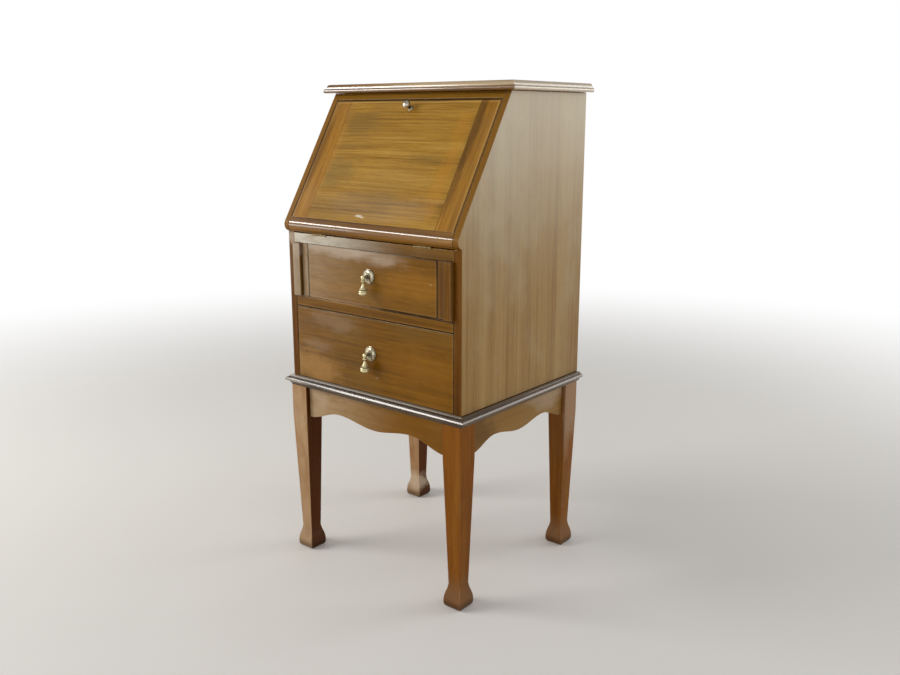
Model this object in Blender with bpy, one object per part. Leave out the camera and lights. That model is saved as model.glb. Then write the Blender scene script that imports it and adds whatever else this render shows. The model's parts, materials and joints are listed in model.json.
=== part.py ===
# A fall-front bureau desk on a four-legged stand, in metres, +Z up, standing on the floor at z = 0.
# Sizes are written in the case's own frame: x = 0 at the middle, y = 0 at the case's front, y to the back.
# Every object is then shifted along y, so that the world origin is under the middle of the whole desk.

import math

import bmesh
import bpy
from mathutils import Matrix, Vector

# The case
CASE_WIDTH = 0.4584
CASE_DEPTH = 0.4078
SIDE_THICKNESS = 0.017
BACK_THICKNESS = 0.008
BOTTOM_THICKNESS = 0.012
MID_RAIL_DEPTH = 0.045
DUST_BOARD_THICKNESS = 0.010
DIVIDER_THICKNESS = 0.0172

# The heights of the desk, from the floor up
STAND_HEIGHT = 0.398
BOTTOM_DRAWER_SPACE = 0.155
MID_RAIL_HEIGHT = 0.022
TOP_DRAWER_SPACE = 0.111
BED_THICKNESS = 0.020
UPPER_SPACE = 0.279

# Clearances
SEAT_GAP = 0.0003
RUNNING_GAP = 0.0006
FALL_GAP = 0.0009
OVERRUN = 0.02

# Sides of the round pieces, and the turn up to which their faces shade as one
TURNED_SIDES = 20
BARREL_SIDES = 16
PIN_SIDES = 12
SMOOTH_ANGLE = math.radians(35)

# The top board, as shares of its overhang and thickness from the underside up
TOP_THICKNESS = 0.018
TOP_OVERHANG = 0.0185
TOP_EDGE_SHARES = [
    (0.70, 0.00), (0.86, 0.03), (0.96, 0.11), (1.00, 0.24), (0.97, 0.37), (0.88, 0.47), (0.76, 0.51),
    (0.74, 0.60), (0.71, 0.72), (0.65, 0.84), (0.56, 0.94), (0.46, 1.00),
]

# The fall, which turns down on its lower edge
FALL_SLOPE = math.radians(58.7)
HEAD_RAIL_WIDTH = 0.016
FALL_RIM = 0.0127
FALL_STILE_WIDTH = 0.047
FALL_TOP_RAIL_WIDTH = 0.029
FALL_NOSING_WIDTH = 0.026
PIN_OUT = 0.00035
NOSE_RADIUS = 0.0148
NOSE_LIFT = 0.0015
NOSE_STEPS = 10
KNOB_FROM_TOP = 0.020
KNOB_HEIGHT = 0.021
KNOB_RADIUS = 0.0080
KNOB_SCREW_RADIUS = 0.0018
KNOB_SCREW_LENGTH = 0.012
KNOB_SHARES = [
    (0.72, 0.00), (0.74, 0.06), (0.60, 0.12), (0.42, 0.16), (0.36, 0.28), (0.40, 0.44),
    (0.60, 0.54), (0.92, 0.60), (1.00, 0.68), (0.96, 0.78), (0.78, 0.90), (0.42, 0.98), (0.00, 1.00),
]

# The hinges let in flush, one leaf in the bed's top and one in the fall's inner face
HINGE_INSET = 0.0776
HINGE_WIDTH = 0.042
HINGE_KNUCKLE_RADIUS = 0.0017
HINGE_PIN_RADIUS = 0.0008
HINGE_LEAF_THICKNESS = 0.0012
HINGE_LEAF_LENGTH = 0.014
HINGE_KNUCKLE_SHARE = 0.44
HINGE_CLEARANCE = 0.0003

# Drawers and lopers
DRAWER_FRONT_THICKNESS = 0.018
DRAWER_SIDE_THICKNESS = 0.009
DRAWER_BOTTOM_THICKNESS = 0.005
DRAWER_BOTTOM_LIFT = 0.008
DRAWER_SIDE_DROP = 0.012
DRAWER_REAR_SPACE = 0.0275
FRONT_GAP = 0.0007
FRONT_EASE = 0.0008
LOPER_WIDTH = 0.0212
LOPER_PROUD = 0.007
LOPER_REAR_SPACE = 0.0345

# The drop pulls, turned in brass
PULL_RISE = 0.006
PULL_REACH = 0.0165
ROSE_RADIUS = 0.0148
SPINDLE_RADIUS = 0.002
SPINDLE_TIP = 0.001
ROSE_SHARES = [
    (1.00, 0.000), (1.00, 0.060), (0.93, 0.095), (0.86, 0.095), (0.80, 0.150), (0.66, 0.220),
    (0.48, 0.270), (0.32, 0.300), (0.23, 0.350), (0.20, 0.480), (0.20, 0.640), (0.00, 0.650),
]
TONGUE_THICKNESS = 0.0020
TONGUE_HALF_HEIGHT = 0.0017
TONGUE_PIN_RADIUS = 0.0010
TONGUE_CLEARANCE = 0.0003
DROP_LENGTH = 0.0365
DROP_RADIUS = 0.00975
DROP_BALL_RADIUS = 0.0045
DROP_BALL_TURN = math.radians(145)
DROP_BALL_STEPS = 6
DROP_SLOT_SHARE = 0.70
DROP_SHARES = [
    (0.290, 0.140), (0.300, 0.150), (0.470, 0.170), (0.500, 0.195), (0.470, 0.225), (0.290, 0.250),
    (0.245, 0.310), (0.300, 0.390), (0.430, 0.490), (0.640, 0.570), (0.800, 0.615), (0.800, 0.640),
    (0.700, 0.665), (0.920, 0.690), (1.000, 0.730), (0.940, 0.780), (1.000, 0.830), (0.940, 0.885),
    (0.740, 0.930), (0.400, 0.985), (0.000, 1.000),
]
NUT_RADIUS = 0.0055
NUT_THICKNESS = 0.003
NUT_SIDES = 6

# The stand
LEG_TOP = 0.044
LEG_ANKLE = 0.028
LEG_EASE = 0.0012
LEG_SIDE_PROUD = 0.003
LEG_FRONT_PROUD = 0.0055
LEG_REAR_INSET = 0.0045
FOOT_WIDTH = 0.0426
FOOT_HEIGHT = 0.048
FOOT_SHARES = [
    (0.00, 0.52), (0.07, 0.86), (0.19, 1.00), (0.35, 0.97),
    (0.51, 0.82), (0.66, 0.54), (0.80, 0.24), (1.00, 0.00),
]
APRON_THICKNESS = 0.018
APRON_RECESS = 0.0095
APRON_LEG_DEPTH = 0.068
APRON_PEAK_DEPTH = 0.0465
APRON_MIDDLE_DEPTH = 0.059
APRON_REAR_DEPTH = 0.050
APRON_PEAK_SHARE = 0.47
APRON_STEPS = 7

# The waist moulding, as shares of its overhang and thickness from the underside up
WAIST_THICKNESS = 0.020
WAIST_OVERHANG = 0.0146
WAIST_WIDTH = 0.040
WAIST_SHARES = [
    (0.33, 0.00), (0.33, 0.11), (0.42, 0.14), (0.50, 0.24), (0.63, 0.34), (0.80, 0.40),
    (0.93, 0.46), (1.00, 0.57), (0.96, 0.70), (0.82, 0.79), (0.66, 0.80), (0.58, 0.84),
    (0.50, 0.91), (0.44, 0.92), (0.44, 1.00),
]

# The fitting on the writing bed
SHELF_HEIGHT = 0.136
SHELF_THICKNESS = 0.008
SHELF_DEPTH = 0.1845
DIVIDER_SWEEP = 0.022
DIVIDER_STEPS = 8
PIGEONHOLES = 4

# Colours, roughness and metallic value of each finish
FINISHES = {
    "mahogany": ((0.115, 0.045, 0.020, 1.0), 0.30, 0.0),
    "fall_veneer": ((0.200, 0.095, 0.030, 1.0), 0.24, 0.0),
    "drawer_veneer": ((0.170, 0.072, 0.027, 1.0), 0.26, 0.0),
    "inner_wood": ((0.300, 0.190, 0.095, 1.0), 0.60, 0.0),
    "brass": ((0.700, 0.590, 0.380, 1.0), 0.22, 1.0),
}

# Places worked out from the sizes above
MID_RAIL_TOP = STAND_HEIGHT + BOTTOM_DRAWER_SPACE + MID_RAIL_HEIGHT
LOPER_TOP = MID_RAIL_TOP + TOP_DRAWER_SPACE
BED_TOP = LOPER_TOP + BED_THICKNESS
CASE_TOP = BED_TOP + UPPER_SPACE
HALF_WIDTH = CASE_WIDTH / 2
INNER_X = HALF_WIDTH - SIDE_THICKNESS
FIT_X = INNER_X - SEAT_GAP
CASE_FOOT = STAND_HEIGHT + SEAT_GAP
BACK_FACE = CASE_DEPTH - BACK_THICKNESS - SEAT_GAP
SHELF_FRONT = BACK_FACE - SHELF_DEPTH
DRAWER_END = BACK_FACE - DRAWER_REAR_SPACE
LOPER_END = BACK_FACE - LOPER_REAR_SPACE
LOPER_OUTER = INNER_X - RUNNING_GAP
LOPER_INNER = LOPER_OUTER - LOPER_WIDTH
DIVIDER_OUTER = LOPER_INNER - RUNNING_GAP
DIVIDER_INNER = DIVIDER_OUTER - DIVIDER_THICKNESS
WAIST_FOOT = STAND_HEIGHT - WAIST_THICKNESS
FALL_THICKNESS = BED_THICKNESS - SEAT_GAP
FALL_HALF = HALF_WIDTH - FALL_RIM - FALL_GAP
HINGE_X = FALL_HALF - HINGE_INSET
PULL_FRONT = PULL_REACH + DROP_RADIUS
FRONT_SHIFT = -(CASE_DEPTH - PULL_FRONT) / 2
PIN_Y = -PIN_OUT
PIN_Z = BED_TOP
SLOPE_SIN = math.sin(FALL_SLOPE)
SLOPE_COS = math.cos(FALL_SLOPE)


# A point of the fall's section: t up the slope from the hinge pin, depth behind the outer face
def on_fall(t, depth):
    lift = FALL_THICKNESS - depth
    return (PIN_Y + t * SLOPE_COS - lift * SLOPE_SIN, PIN_Z + t * SLOPE_SIN + lift * SLOPE_COS)


# How far up the slope a plane at that depth reaches the height z
def t_at_height(z, depth):
    return (z - PIN_Z - (FALL_THICKNESS - depth) * SLOPE_COS) / SLOPE_SIN


NOSE_T = t_at_height(BED_TOP + NOSE_LIFT + NOSE_RADIUS, NOSE_RADIUS)
NOSE_Y, NOSE_Z = on_fall(NOSE_T, NOSE_RADIUS)
SLOPE_TOP = t_at_height(CASE_TOP, 0)
SLOPE_TOP_Y = on_fall(SLOPE_TOP, 0)[0]
FALL_LENGTH = SLOPE_TOP - HEAD_RAIL_WIDTH - FALL_GAP


# The rounded lower edge, from the slope down through the given turn
def nose_points(turn):
    points = []
    for step in range(NOSE_STEPS + 1):
        angle = turn * step / NOSE_STEPS
        t = NOSE_T - NOSE_RADIUS * math.sin(angle)
        points.append(on_fall(t, NOSE_RADIUS - NOSE_RADIUS * math.cos(angle)))
    return points


# One material to each object
def finish_material(name, finish):
    colour, roughness, metallic = FINISHES[finish]
    material = bpy.data.materials.new(name + "_" + finish)
    material.use_nodes = True
    shader = material.node_tree.nodes["Principled BSDF"]
    shader.inputs["Base Color"].default_value = colour
    shader.inputs["Roughness"].default_value = roughness
    shader.inputs["Metallic"].default_value = metallic
    material.diffuse_color = colour
    return material


# Turns a bmesh in the case's frame into an object whose origin is at the given point
def place(name, finish, bm, origin=(0.0, 0.0, 0.0)):
    bmesh.ops.recalc_face_normals(bm, faces=bm.faces)
    bmesh.ops.translate(bm, verts=bm.verts, vec=-Vector(origin))
    mesh = bpy.data.meshes.new(name)
    bm.to_mesh(mesh)
    bm.free()
    mesh.shade_smooth()
    mesh.set_sharp_from_angle(angle=SMOOTH_ANGLE)
    obj = bpy.data.objects.new(name, mesh)
    obj.location = Vector(origin) + Vector((0.0, FRONT_SHIFT, 0.0))
    bpy.context.scene.collection.objects.link(obj)
    if finish:
        mesh.materials.append(finish_material(name, finish))
    return obj


# An empty on a joint's axis, which carries the pieces that move with it
def axis_empty(name, origin):
    empty = bpy.data.objects.new(name, None)
    empty.location = Vector(origin) + Vector((0.0, FRONT_SHIFT, 0.0))
    bpy.context.scene.collection.objects.link(empty)
    return empty


def carry(empty, pieces):
    bpy.context.view_layer.update()
    for piece in pieces:
        piece.parent = empty
        piece.matrix_parent_inverse = empty.matrix_world.inverted()


# A board between two corners, with eased edges where asked
def board(name, finish, x, y, z, ease=0.0):
    bm = bmesh.new()
    size = Vector((x[1] - x[0], y[1] - y[0], z[1] - z[0]))
    middle = Vector((x[0] + x[1], y[0] + y[1], z[0] + z[1])) / 2
    bmesh.ops.create_cube(bm, size=1.0, matrix=Matrix.Translation(middle) @ Matrix.Diagonal(size.to_4d()))
    if ease:
        bmesh.ops.bevel(bm, geom=bm.edges[:], offset=ease, segments=1, affect="EDGES")
    return place(name, finish, bm, middle)


# A closed solid through matching loops of points, capped at both ends
def loft(name, finish, loops, origin=(0.0, 0.0, 0.0)):
    bm = bmesh.new()
    rings = [[bm.verts.new(point) for point in loop] for loop in loops]
    for low, high in zip(rings, rings[1:]):
        for i in range(len(low)):
            j = (i + 1) % len(low)
            bm.faces.new((low[i], low[j], high[j], high[i]))
    bm.faces.new(rings[0])
    bm.faces.new(rings[-1])
    return place(name, finish, bm, origin)


# A section of (y, z) points carried from one x to another
def run_along_x(name, finish, section, x):
    loops = [[(across, y, z) for y, z in section] for across in x]
    middle_y = sum(y for y, z in section) / len(section)
    middle_z = sum(z for y, z in section) / len(section)
    return loft(name, finish, loops, ((x[0] + x[1]) / 2, middle_y, middle_z))


# A turned solid: (radius, height) points spun about a line from the origin along the direction
def turned(name, finish, profile, origin, direction, sides):
    bm = bmesh.new()
    turn = Vector(direction).to_track_quat("Z", "Y").to_matrix().to_4x4()
    matrix = Matrix.Translation(origin) @ turn
    rings = []
    for radius, height in profile:
        if radius == 0:
            rings.append([bm.verts.new(matrix @ Vector((0.0, 0.0, height)))])
            continue
        ring = []
        for i in range(sides):
            angle = 2 * math.pi * i / sides
            point = Vector((radius * math.cos(angle), radius * math.sin(angle), height))
            ring.append(bm.verts.new(matrix @ point))
        rings.append(ring)
    for low, high in zip(rings, rings[1:]):
        for i in range(sides):
            j = i + 1
            corners = [low[i % len(low)], low[j % len(low)], high[j % len(high)], high[i % len(high)]]
            bm.faces.new(list(dict.fromkeys(corners)))
    for ring in (rings[0], rings[-1]):
        if len(ring) > 1:
            bm.faces.new(ring)
    return place(name, finish, bm, origin)


# A plain round bar between two x places
def bar_along_x(name, finish, radius, x, y, z, sides):
    return turned(name, finish, [(radius, 0.0), (radius, x[1] - x[0])], (x[0], y, z), (1.0, 0.0, 0.0), sides)


# Joins or cuts one solid with others, which stay as hidden guides
def combine(target, others, operation):
    for other in others:
        modifier = target.modifiers.new(other.name, "BOOLEAN")
        modifier.operation = operation
        modifier.solver = "EXACT"
        modifier.object = other
        other.hide_render = True
        other.display_type = "WIRE"


# Stand

def leg(name, x, y):
    top = WAIST_FOOT - SEAT_GAP
    block_foot = WAIST_FOOT - APRON_LEG_DEPTH
    levels = []
    for height_share, bulge_share in FOOT_SHARES:
        half = LEG_ANKLE / 2 + bulge_share * (FOOT_WIDTH - LEG_ANKLE) / 2
        levels.append((height_share * FOOT_HEIGHT, half))
    levels += [(block_foot, LEG_TOP / 2), (top, LEG_TOP / 2)]
    loops = []
    for z, half in levels:
        inner = half - LEG_EASE
        corners = [(half, inner), (inner, half), (-inner, half), (-half, inner),
                   (-half, -inner), (-inner, -half), (inner, -half), (half, -inner)]
        loops.append([(x + across, y + along, z) for across, along in corners])
    return loft(name, "mahogany", loops, (x, y, 0.0))


# The lower edge of an apron, from one leg to the other: low at the legs and the middle, arched between
def apron_edge(length):
    half = length / 2
    peak = half * APRON_PEAK_SHARE
    side = []
    for step in range(APRON_STEPS):
        share = step / APRON_STEPS
        blend = (1 - math.cos(math.pi * share)) / 2
        side.append((-half + peak * share, APRON_LEG_DEPTH + (APRON_PEAK_DEPTH - APRON_LEG_DEPTH) * blend))
    for step in range(APRON_STEPS + 1):
        share = step / APRON_STEPS
        blend = (1 - math.cos(math.pi * share)) / 2
        depth = APRON_PEAK_DEPTH + (APRON_MIDDLE_DEPTH - APRON_PEAK_DEPTH) * blend
        side.append((-half + peak + (half - peak) * share, depth))
    return side + [(-along, depth) for along, depth in reversed(side[:-1])]


def stand():
    leg_x = HALF_WIDTH + LEG_SIDE_PROUD - LEG_TOP / 2
    front_y = LEG_TOP / 2 - LEG_FRONT_PROUD
    rear_y = CASE_DEPTH - LEG_REAR_INSET - LEG_TOP / 2
    for side, x in (("left", -leg_x), ("right", leg_x)):
        leg("leg_front_" + side, x, front_y)
        leg("leg_rear_" + side, x, rear_y)
    top = WAIST_FOOT - SEAT_GAP

    # Front apron, shaped below, and the straight rear one
    across = 2 * (leg_x - LEG_TOP / 2 - SEAT_GAP)
    front_face = APRON_RECESS - LEG_FRONT_PROUD
    edge = [(x, WAIST_FOOT - depth) for x, depth in apron_edge(across)]
    outline = edge + [(across / 2, top), (-across / 2, top)]
    loops = [[(x, y, z) for x, z in outline] for y in (front_face, front_face + APRON_THICKNESS)]
    loft("apron_front", "mahogany", loops, (0.0, front_face, top))
    rear_face = CASE_DEPTH - LEG_REAR_INSET - APRON_RECESS
    board("apron_rear", "mahogany", (-across / 2, across / 2), (rear_face - APRON_THICKNESS, rear_face),
          (WAIST_FOOT - APRON_REAR_DEPTH, top))

    # Side aprons
    along = rear_y - front_y - LEG_TOP - 2 * SEAT_GAP
    middle_y = (front_y + rear_y) / 2
    outer_x = leg_x + LEG_TOP / 2 - APRON_RECESS
    for side, sign in (("left", -1), ("right", 1)):
        edge = [(middle_y + y, WAIST_FOOT - depth) for y, depth in apron_edge(along)]
        section = edge + [(middle_y + along / 2, top), (middle_y - along / 2, top)]
        x = (sign * (outer_x - APRON_THICKNESS), sign * outer_x)
        run_along_x("apron_" + side, "mahogany", section, x)
    waist()


# The moulded frame between stand and case: mitred at the front corners, plain at the back
def waist():
    profile = [(-WAIST_WIDTH, WAIST_FOOT)]
    for out_share, height_share in WAIST_SHARES:
        profile.append((out_share * WAIST_OVERHANG, WAIST_FOOT + height_share * WAIST_THICKNESS))
    profile.append((-WAIST_WIDTH, STAND_HEIGHT))
    mitre = SEAT_GAP / 2
    front = []
    for sign in (-1, 1):
        front.append([(sign * (HALF_WIDTH + out - mitre), -out - mitre, z) for out, z in profile])
    loft("waist_front", "mahogany", front, (0.0, 0.0, STAND_HEIGHT))
    for side, sign in (("left", -1), ("right", 1)):
        loops = [[(sign * (HALF_WIDTH + out + mitre), -out + mitre, z) for out, z in profile],
                 [(sign * (HALF_WIDTH + out + mitre), CASE_DEPTH, z) for out, z in profile]]
        loft("waist_" + side, "mahogany", loops, (sign * HALF_WIDTH, CASE_DEPTH / 2, STAND_HEIGHT))
    rear_x = HALF_WIDTH - WAIST_WIDTH - SEAT_GAP
    board("waist_rear", "mahogany", (-rear_x, rear_x), (CASE_DEPTH - WAIST_WIDTH, CASE_DEPTH),
          (WAIST_FOOT, STAND_HEIGHT))


# Case

# A side: upright in front, rounded out at the nosing, then raked; rebated inside where the fall closes
def case_side(side, sign):
    turn = math.pi - math.asin(NOSE_Y / NOSE_RADIUS) - FALL_SLOPE
    section = [(0.0, CASE_FOOT)] + nose_points(turn)[::-1]
    section += [(SLOPE_TOP_Y, CASE_TOP), (CASE_DEPTH, CASE_TOP), (CASE_DEPTH, CASE_FOOT)]
    panel = run_along_x("side_" + side, "mahogany", section, (sign * INNER_X, sign * HALF_WIDTH))
    ledge_depth = FALL_THICKNESS + SEAT_GAP
    high = t_at_height(CASE_TOP + OVERRUN, ledge_depth)
    low = t_at_height(BED_TOP, ledge_depth)
    ledge = [on_fall(low, ledge_depth), on_fall(high, ledge_depth)]
    ledge += [(-OVERRUN, CASE_TOP + OVERRUN), (-OVERRUN, BED_TOP)]
    rebate_x = (sign * (INNER_X - OVERRUN), sign * (HALF_WIDTH - FALL_RIM))
    rebate = run_along_x("rebate_" + side, None, ledge, rebate_x)
    combine(panel, [rebate], "DIFFERENCE")


def top_board():
    loops = []
    for out_share, height_share in TOP_EDGE_SHARES:
        out = out_share * TOP_OVERHANG
        z = CASE_TOP + SEAT_GAP + height_share * (TOP_THICKNESS - SEAT_GAP)
        x = HALF_WIDTH + out
        y = SLOPE_TOP_Y - out
        loops.append([(-x, y, z), (x, y, z), (x, CASE_DEPTH, z), (-x, CASE_DEPTH, z)])
    loft("top_board", "mahogany", loops, (0.0, SLOPE_TOP_Y, CASE_TOP))


def case():
    for side, sign in (("left", -1), ("right", 1)):
        case_side(side, sign)
    top_board()
    board("case_bottom", "inner_wood", (-FIT_X, FIT_X), (DRAWER_FRONT_THICKNESS + SEAT_GAP, BACK_FACE),
          (CASE_FOOT, CASE_FOOT + BOTTOM_THICKNESS))
    board("back_panel", "inner_wood", (-FIT_X, FIT_X), (CASE_DEPTH - BACK_THICKNESS, CASE_DEPTH),
          (CASE_FOOT, CASE_TOP))
    board("mid_rail", "mahogany", (-FIT_X, FIT_X), (0.0, MID_RAIL_DEPTH),
          (MID_RAIL_TOP - MID_RAIL_HEIGHT, MID_RAIL_TOP))
    board("dust_board", "inner_wood", (-FIT_X, FIT_X), (MID_RAIL_DEPTH + SEAT_GAP, BACK_FACE),
          (MID_RAIL_TOP - DUST_BOARD_THICKNESS, MID_RAIL_TOP))
    for side, sign in (("left", -1), ("right", 1)):
        ends = sorted((sign * DIVIDER_INNER, sign * DIVIDER_OUTER))
        board("divider_" + side, "mahogany", ends, (0.0, BACK_FACE),
              (MID_RAIL_TOP + SEAT_GAP, LOPER_TOP - SEAT_GAP))
    head_rail()
    pigeonholes()


# The strip between the fall and the top board, flush with the slope
def head_rail():
    low = FALL_LENGTH + FALL_GAP
    seat = CASE_TOP - SEAT_GAP
    section = [on_fall(low, 0), on_fall(t_at_height(seat, 0), 0),
               on_fall(t_at_height(seat, FALL_THICKNESS), FALL_THICKNESS), on_fall(low, FALL_THICKNESS)]
    run_along_x("head_rail", "fall_veneer", section, (-FALL_HALF, FALL_HALF))


def pigeonholes():
    shelf_z = BED_TOP + SHELF_HEIGHT
    board("pigeonhole_shelf", "inner_wood", (-FIT_X, FIT_X), (SHELF_FRONT, BACK_FACE),
          (shelf_z, shelf_z + SHELF_THICKNESS))
    low = BED_TOP + SEAT_GAP
    high = shelf_z - SEAT_GAP
    section = [(BACK_FACE, low), (BACK_FACE, high)]
    for step in range(DIVIDER_STEPS, -1, -1):
        share = step / DIVIDER_STEPS
        hollow = (1 - math.cos(2 * math.pi * share)) / 2
        section.append((SHELF_FRONT + DIVIDER_SWEEP * hollow, low + (high - low) * share))
    for number in range(1, PIGEONHOLES):
        x = -FIT_X + 2 * FIT_X * number / PIGEONHOLES
        run_along_x("pigeonhole_divider_%d" % number, "inner_wood", section,
                    (x - SHELF_THICKNESS / 2, x + SHELF_THICKNESS / 2))


# Fall

# A flat piece of the fall between two x places and two places up the slope
def fall_slab(name, finish, x, t):
    section = [on_fall(t[0], 0), on_fall(t[1], 0)]
    section += [on_fall(t[1], FALL_THICKNESS), on_fall(t[0], FALL_THICKNESS)]
    return run_along_x(name, finish, section, x)


def fall():
    stile_x = FALL_HALF - FALL_STILE_WIDTH
    rail_t = FALL_LENGTH - FALL_TOP_RAIL_WIDTH
    foot_t = FALL_NOSING_WIDTH + SEAT_GAP
    panel_x = stile_x - SEAT_GAP
    top_rail = fall_slab("fall_top_rail", "fall_veneer", (-panel_x, panel_x), (rail_t, FALL_LENGTH))
    pieces = [
        top_rail,
        fall_slab("fall_panel", "fall_veneer", (-panel_x, panel_x), (foot_t, rail_t - SEAT_GAP)),
        fall_slab("fall_stile_left", "fall_veneer", (-FALL_HALF, -stile_x), (foot_t, FALL_LENGTH)),
        fall_slab("fall_stile_right", "fall_veneer", (stile_x, FALL_HALF), (foot_t, FALL_LENGTH)),
    ]
    turn = math.acos(-(FALL_THICKNESS - NOSE_RADIUS) / NOSE_RADIUS)
    section = [on_fall(FALL_NOSING_WIDTH, FALL_THICKNESS), on_fall(FALL_NOSING_WIDTH, 0)] + nose_points(turn)
    nosing = run_along_x("fall_nosing", "mahogany", section, (-FALL_HALF, FALL_HALF))
    pieces.append(nosing)
    bed = board("writing_bed", "mahogany", (-FIT_X, FIT_X), (0.0, BACK_FACE), (LOPER_TOP, BED_TOP))
    for side, sign in (("left", -1), ("right", 1)):
        pieces.append(hinge(side, sign, nosing, bed))

    # The knob stands square to the slope near the fall's top edge, on a screw let into the rail
    knob_y, knob_z = on_fall(FALL_LENGTH - KNOB_FROM_TOP, -SEAT_GAP)
    seat = (0.0, knob_y, knob_z)
    square = (0.0, -SLOPE_SIN, SLOPE_COS)
    profile = [(0, -KNOB_SCREW_LENGTH), (KNOB_SCREW_RADIUS, -KNOB_SCREW_LENGTH), (KNOB_SCREW_RADIUS, 0)]
    profile += [(radius * KNOB_RADIUS, height * KNOB_HEIGHT) for radius, height in KNOB_SHARES]
    pieces.append(turned("fall_knob", "brass", profile, seat, square, TURNED_SIDES))
    bore_radius = KNOB_SCREW_RADIUS + SEAT_GAP
    bore = [(bore_radius, -KNOB_SCREW_LENGTH - SEAT_GAP), (bore_radius, OVERRUN)]
    combine(top_rail, [turned("knob_bore", None, bore, seat, square, TURNED_SIDES)], "DIFFERENCE")
    carry(axis_empty("fall_axis", (0.0, PIN_Y, PIN_Z)), pieces)


# A hinge: the case leaf lies flush in the bed's top, the fall leaf in the fall's inner face
def hinge(side, sign, nosing, bed):
    x = (sign * HINGE_X - HINGE_WIDTH / 2, sign * HINGE_X + HINGE_WIDTH / 2)
    pocket_x = (x[0] - SEAT_GAP, x[1] + SEAT_GAP)
    knuckle = HINGE_WIDTH * HINGE_KNUCKLE_SHARE / 2
    inner_x = (sign * HINGE_X - knuckle, sign * HINGE_X + knuckle)
    gap_x = (inner_x[0] - HINGE_CLEARANCE, inner_x[1] + HINGE_CLEARANCE)
    swing = HINGE_KNUCKLE_RADIUS + HINGE_CLEARANCE
    guard = HINGE_PIN_RADIUS + HINGE_CLEARANCE
    skin = HINGE_CLEARANCE / 2
    leaf_foot = skin + HINGE_LEAF_THICKNESS

    # Case leaf: a plate with the two outer knuckles, and the pin through all three
    plate = board("hinge_leaf_case_" + side, "brass", x, (PIN_Y, HINGE_LEAF_LENGTH),
                  (PIN_Z - leaf_foot, PIN_Z - skin))
    outer = bar_along_x("case_knuckle_" + side, None, HINGE_KNUCKLE_RADIUS, x, PIN_Y, PIN_Z, BARREL_SIDES)
    notch = bar_along_x("case_notch_" + side, None, swing, gap_x, PIN_Y, PIN_Z, BARREL_SIDES)
    pin_x = (x[0] + SEAT_GAP, x[1] - SEAT_GAP)
    pin = bar_along_x("case_pin_" + side, None, HINGE_PIN_RADIUS, pin_x, PIN_Y, PIN_Z, PIN_SIDES)
    combine(plate, [outer], "UNION")
    combine(plate, [notch], "DIFFERENCE")
    combine(plate, [pin], "UNION")

    # Fall leaf: along the fall's inner face, with the middle knuckle
    def leaf_section(low, high, start, end):
        return [on_fall(low, FALL_THICKNESS - start), on_fall(high, FALL_THICKNESS - start),
                on_fall(high, FALL_THICKNESS - end), on_fall(low, FALL_THICKNESS - end)]

    leaf = run_along_x("hinge_leaf_fall_" + side, "brass",
                       leaf_section(0.0, HINGE_LEAF_LENGTH, skin, leaf_foot), x)
    wide_x = (x[0] - OVERRUN, x[1] + OVERRUN)
    ends = ((wide_x[0], gap_x[0] + HINGE_CLEARANCE / 2), (gap_x[1] - HINGE_CLEARANCE / 2, wide_x[1]))
    trim = [bar_along_x("fall_trim_%s_%d" % (side, i), None, swing, ends[i], PIN_Y, PIN_Z, BARREL_SIDES)
            for i in (0, 1)]
    middle = bar_along_x("fall_knuckle_" + side, None, HINGE_KNUCKLE_RADIUS, inner_x, PIN_Y, PIN_Z,
                         BARREL_SIDES)
    bore = bar_along_x("fall_bore_" + side, None, guard, wide_x, PIN_Y, PIN_Z, PIN_SIDES)
    combine(leaf, trim, "DIFFERENCE")
    combine(leaf, [middle], "UNION")
    combine(leaf, [bore], "DIFFERENCE")

    # Pockets in the wood
    barrel = bar_along_x("barrel_pocket_" + side, None, swing + SEAT_GAP, pocket_x, PIN_Y, PIN_Z,
                         BARREL_SIDES)
    inside = run_along_x("nosing_pocket_" + side, None,
                         leaf_section(-OVERRUN, HINGE_LEAF_LENGTH + SEAT_GAP, -OVERRUN,
                                      leaf_foot + SEAT_GAP), pocket_x)
    over = board("bed_pocket_" + side, None, pocket_x, (-OVERRUN, HINGE_LEAF_LENGTH + SEAT_GAP),
                 (PIN_Z - leaf_foot - SEAT_GAP, PIN_Z + OVERRUN))
    combine(nosing, [barrel, inside], "DIFFERENCE")
    combine(bed, [barrel, over], "DIFFERENCE")
    return leaf


# Drawers

# A drawer whose front fills an opening, with its box standing on the board below
def drawer(name, half_opening, opening, box_foot):
    half = half_opening - FRONT_GAP
    z = (opening[0] + FRONT_GAP, opening[1] - FRONT_GAP)
    front = board(name + "_front", "drawer_veneer", (-half, half), (0.0, DRAWER_FRONT_THICKNESS), z,
                  FRONT_EASE)
    start = DRAWER_FRONT_THICKNESS + SEAT_GAP
    foot = box_foot + SEAT_GAP
    top = z[1] - DRAWER_SIDE_DROP
    side_x = (half - DRAWER_SIDE_THICKNESS, half)
    pieces = [front]
    for side, sign in (("left", -1), ("right", 1)):
        ends = sorted((sign * side_x[0], sign * side_x[1]))
        pieces.append(board(name + "_side_" + side, "inner_wood", ends, (start, DRAWER_END), (foot, top)))
    within = side_x[0] - SEAT_GAP
    back_y = DRAWER_END - DRAWER_SIDE_THICKNESS
    floor = foot + DRAWER_BOTTOM_LIFT
    pieces.append(board(name + "_back", "inner_wood", (-within, within), (back_y, DRAWER_END),
                        (floor, top - DRAWER_SIDE_DROP)))
    pieces.append(board(name + "_bottom", "inner_wood", (-within, within), (start, back_y - SEAT_GAP),
                        (floor, floor + DRAWER_BOTTOM_THICKNESS)))
    return pieces


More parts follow.
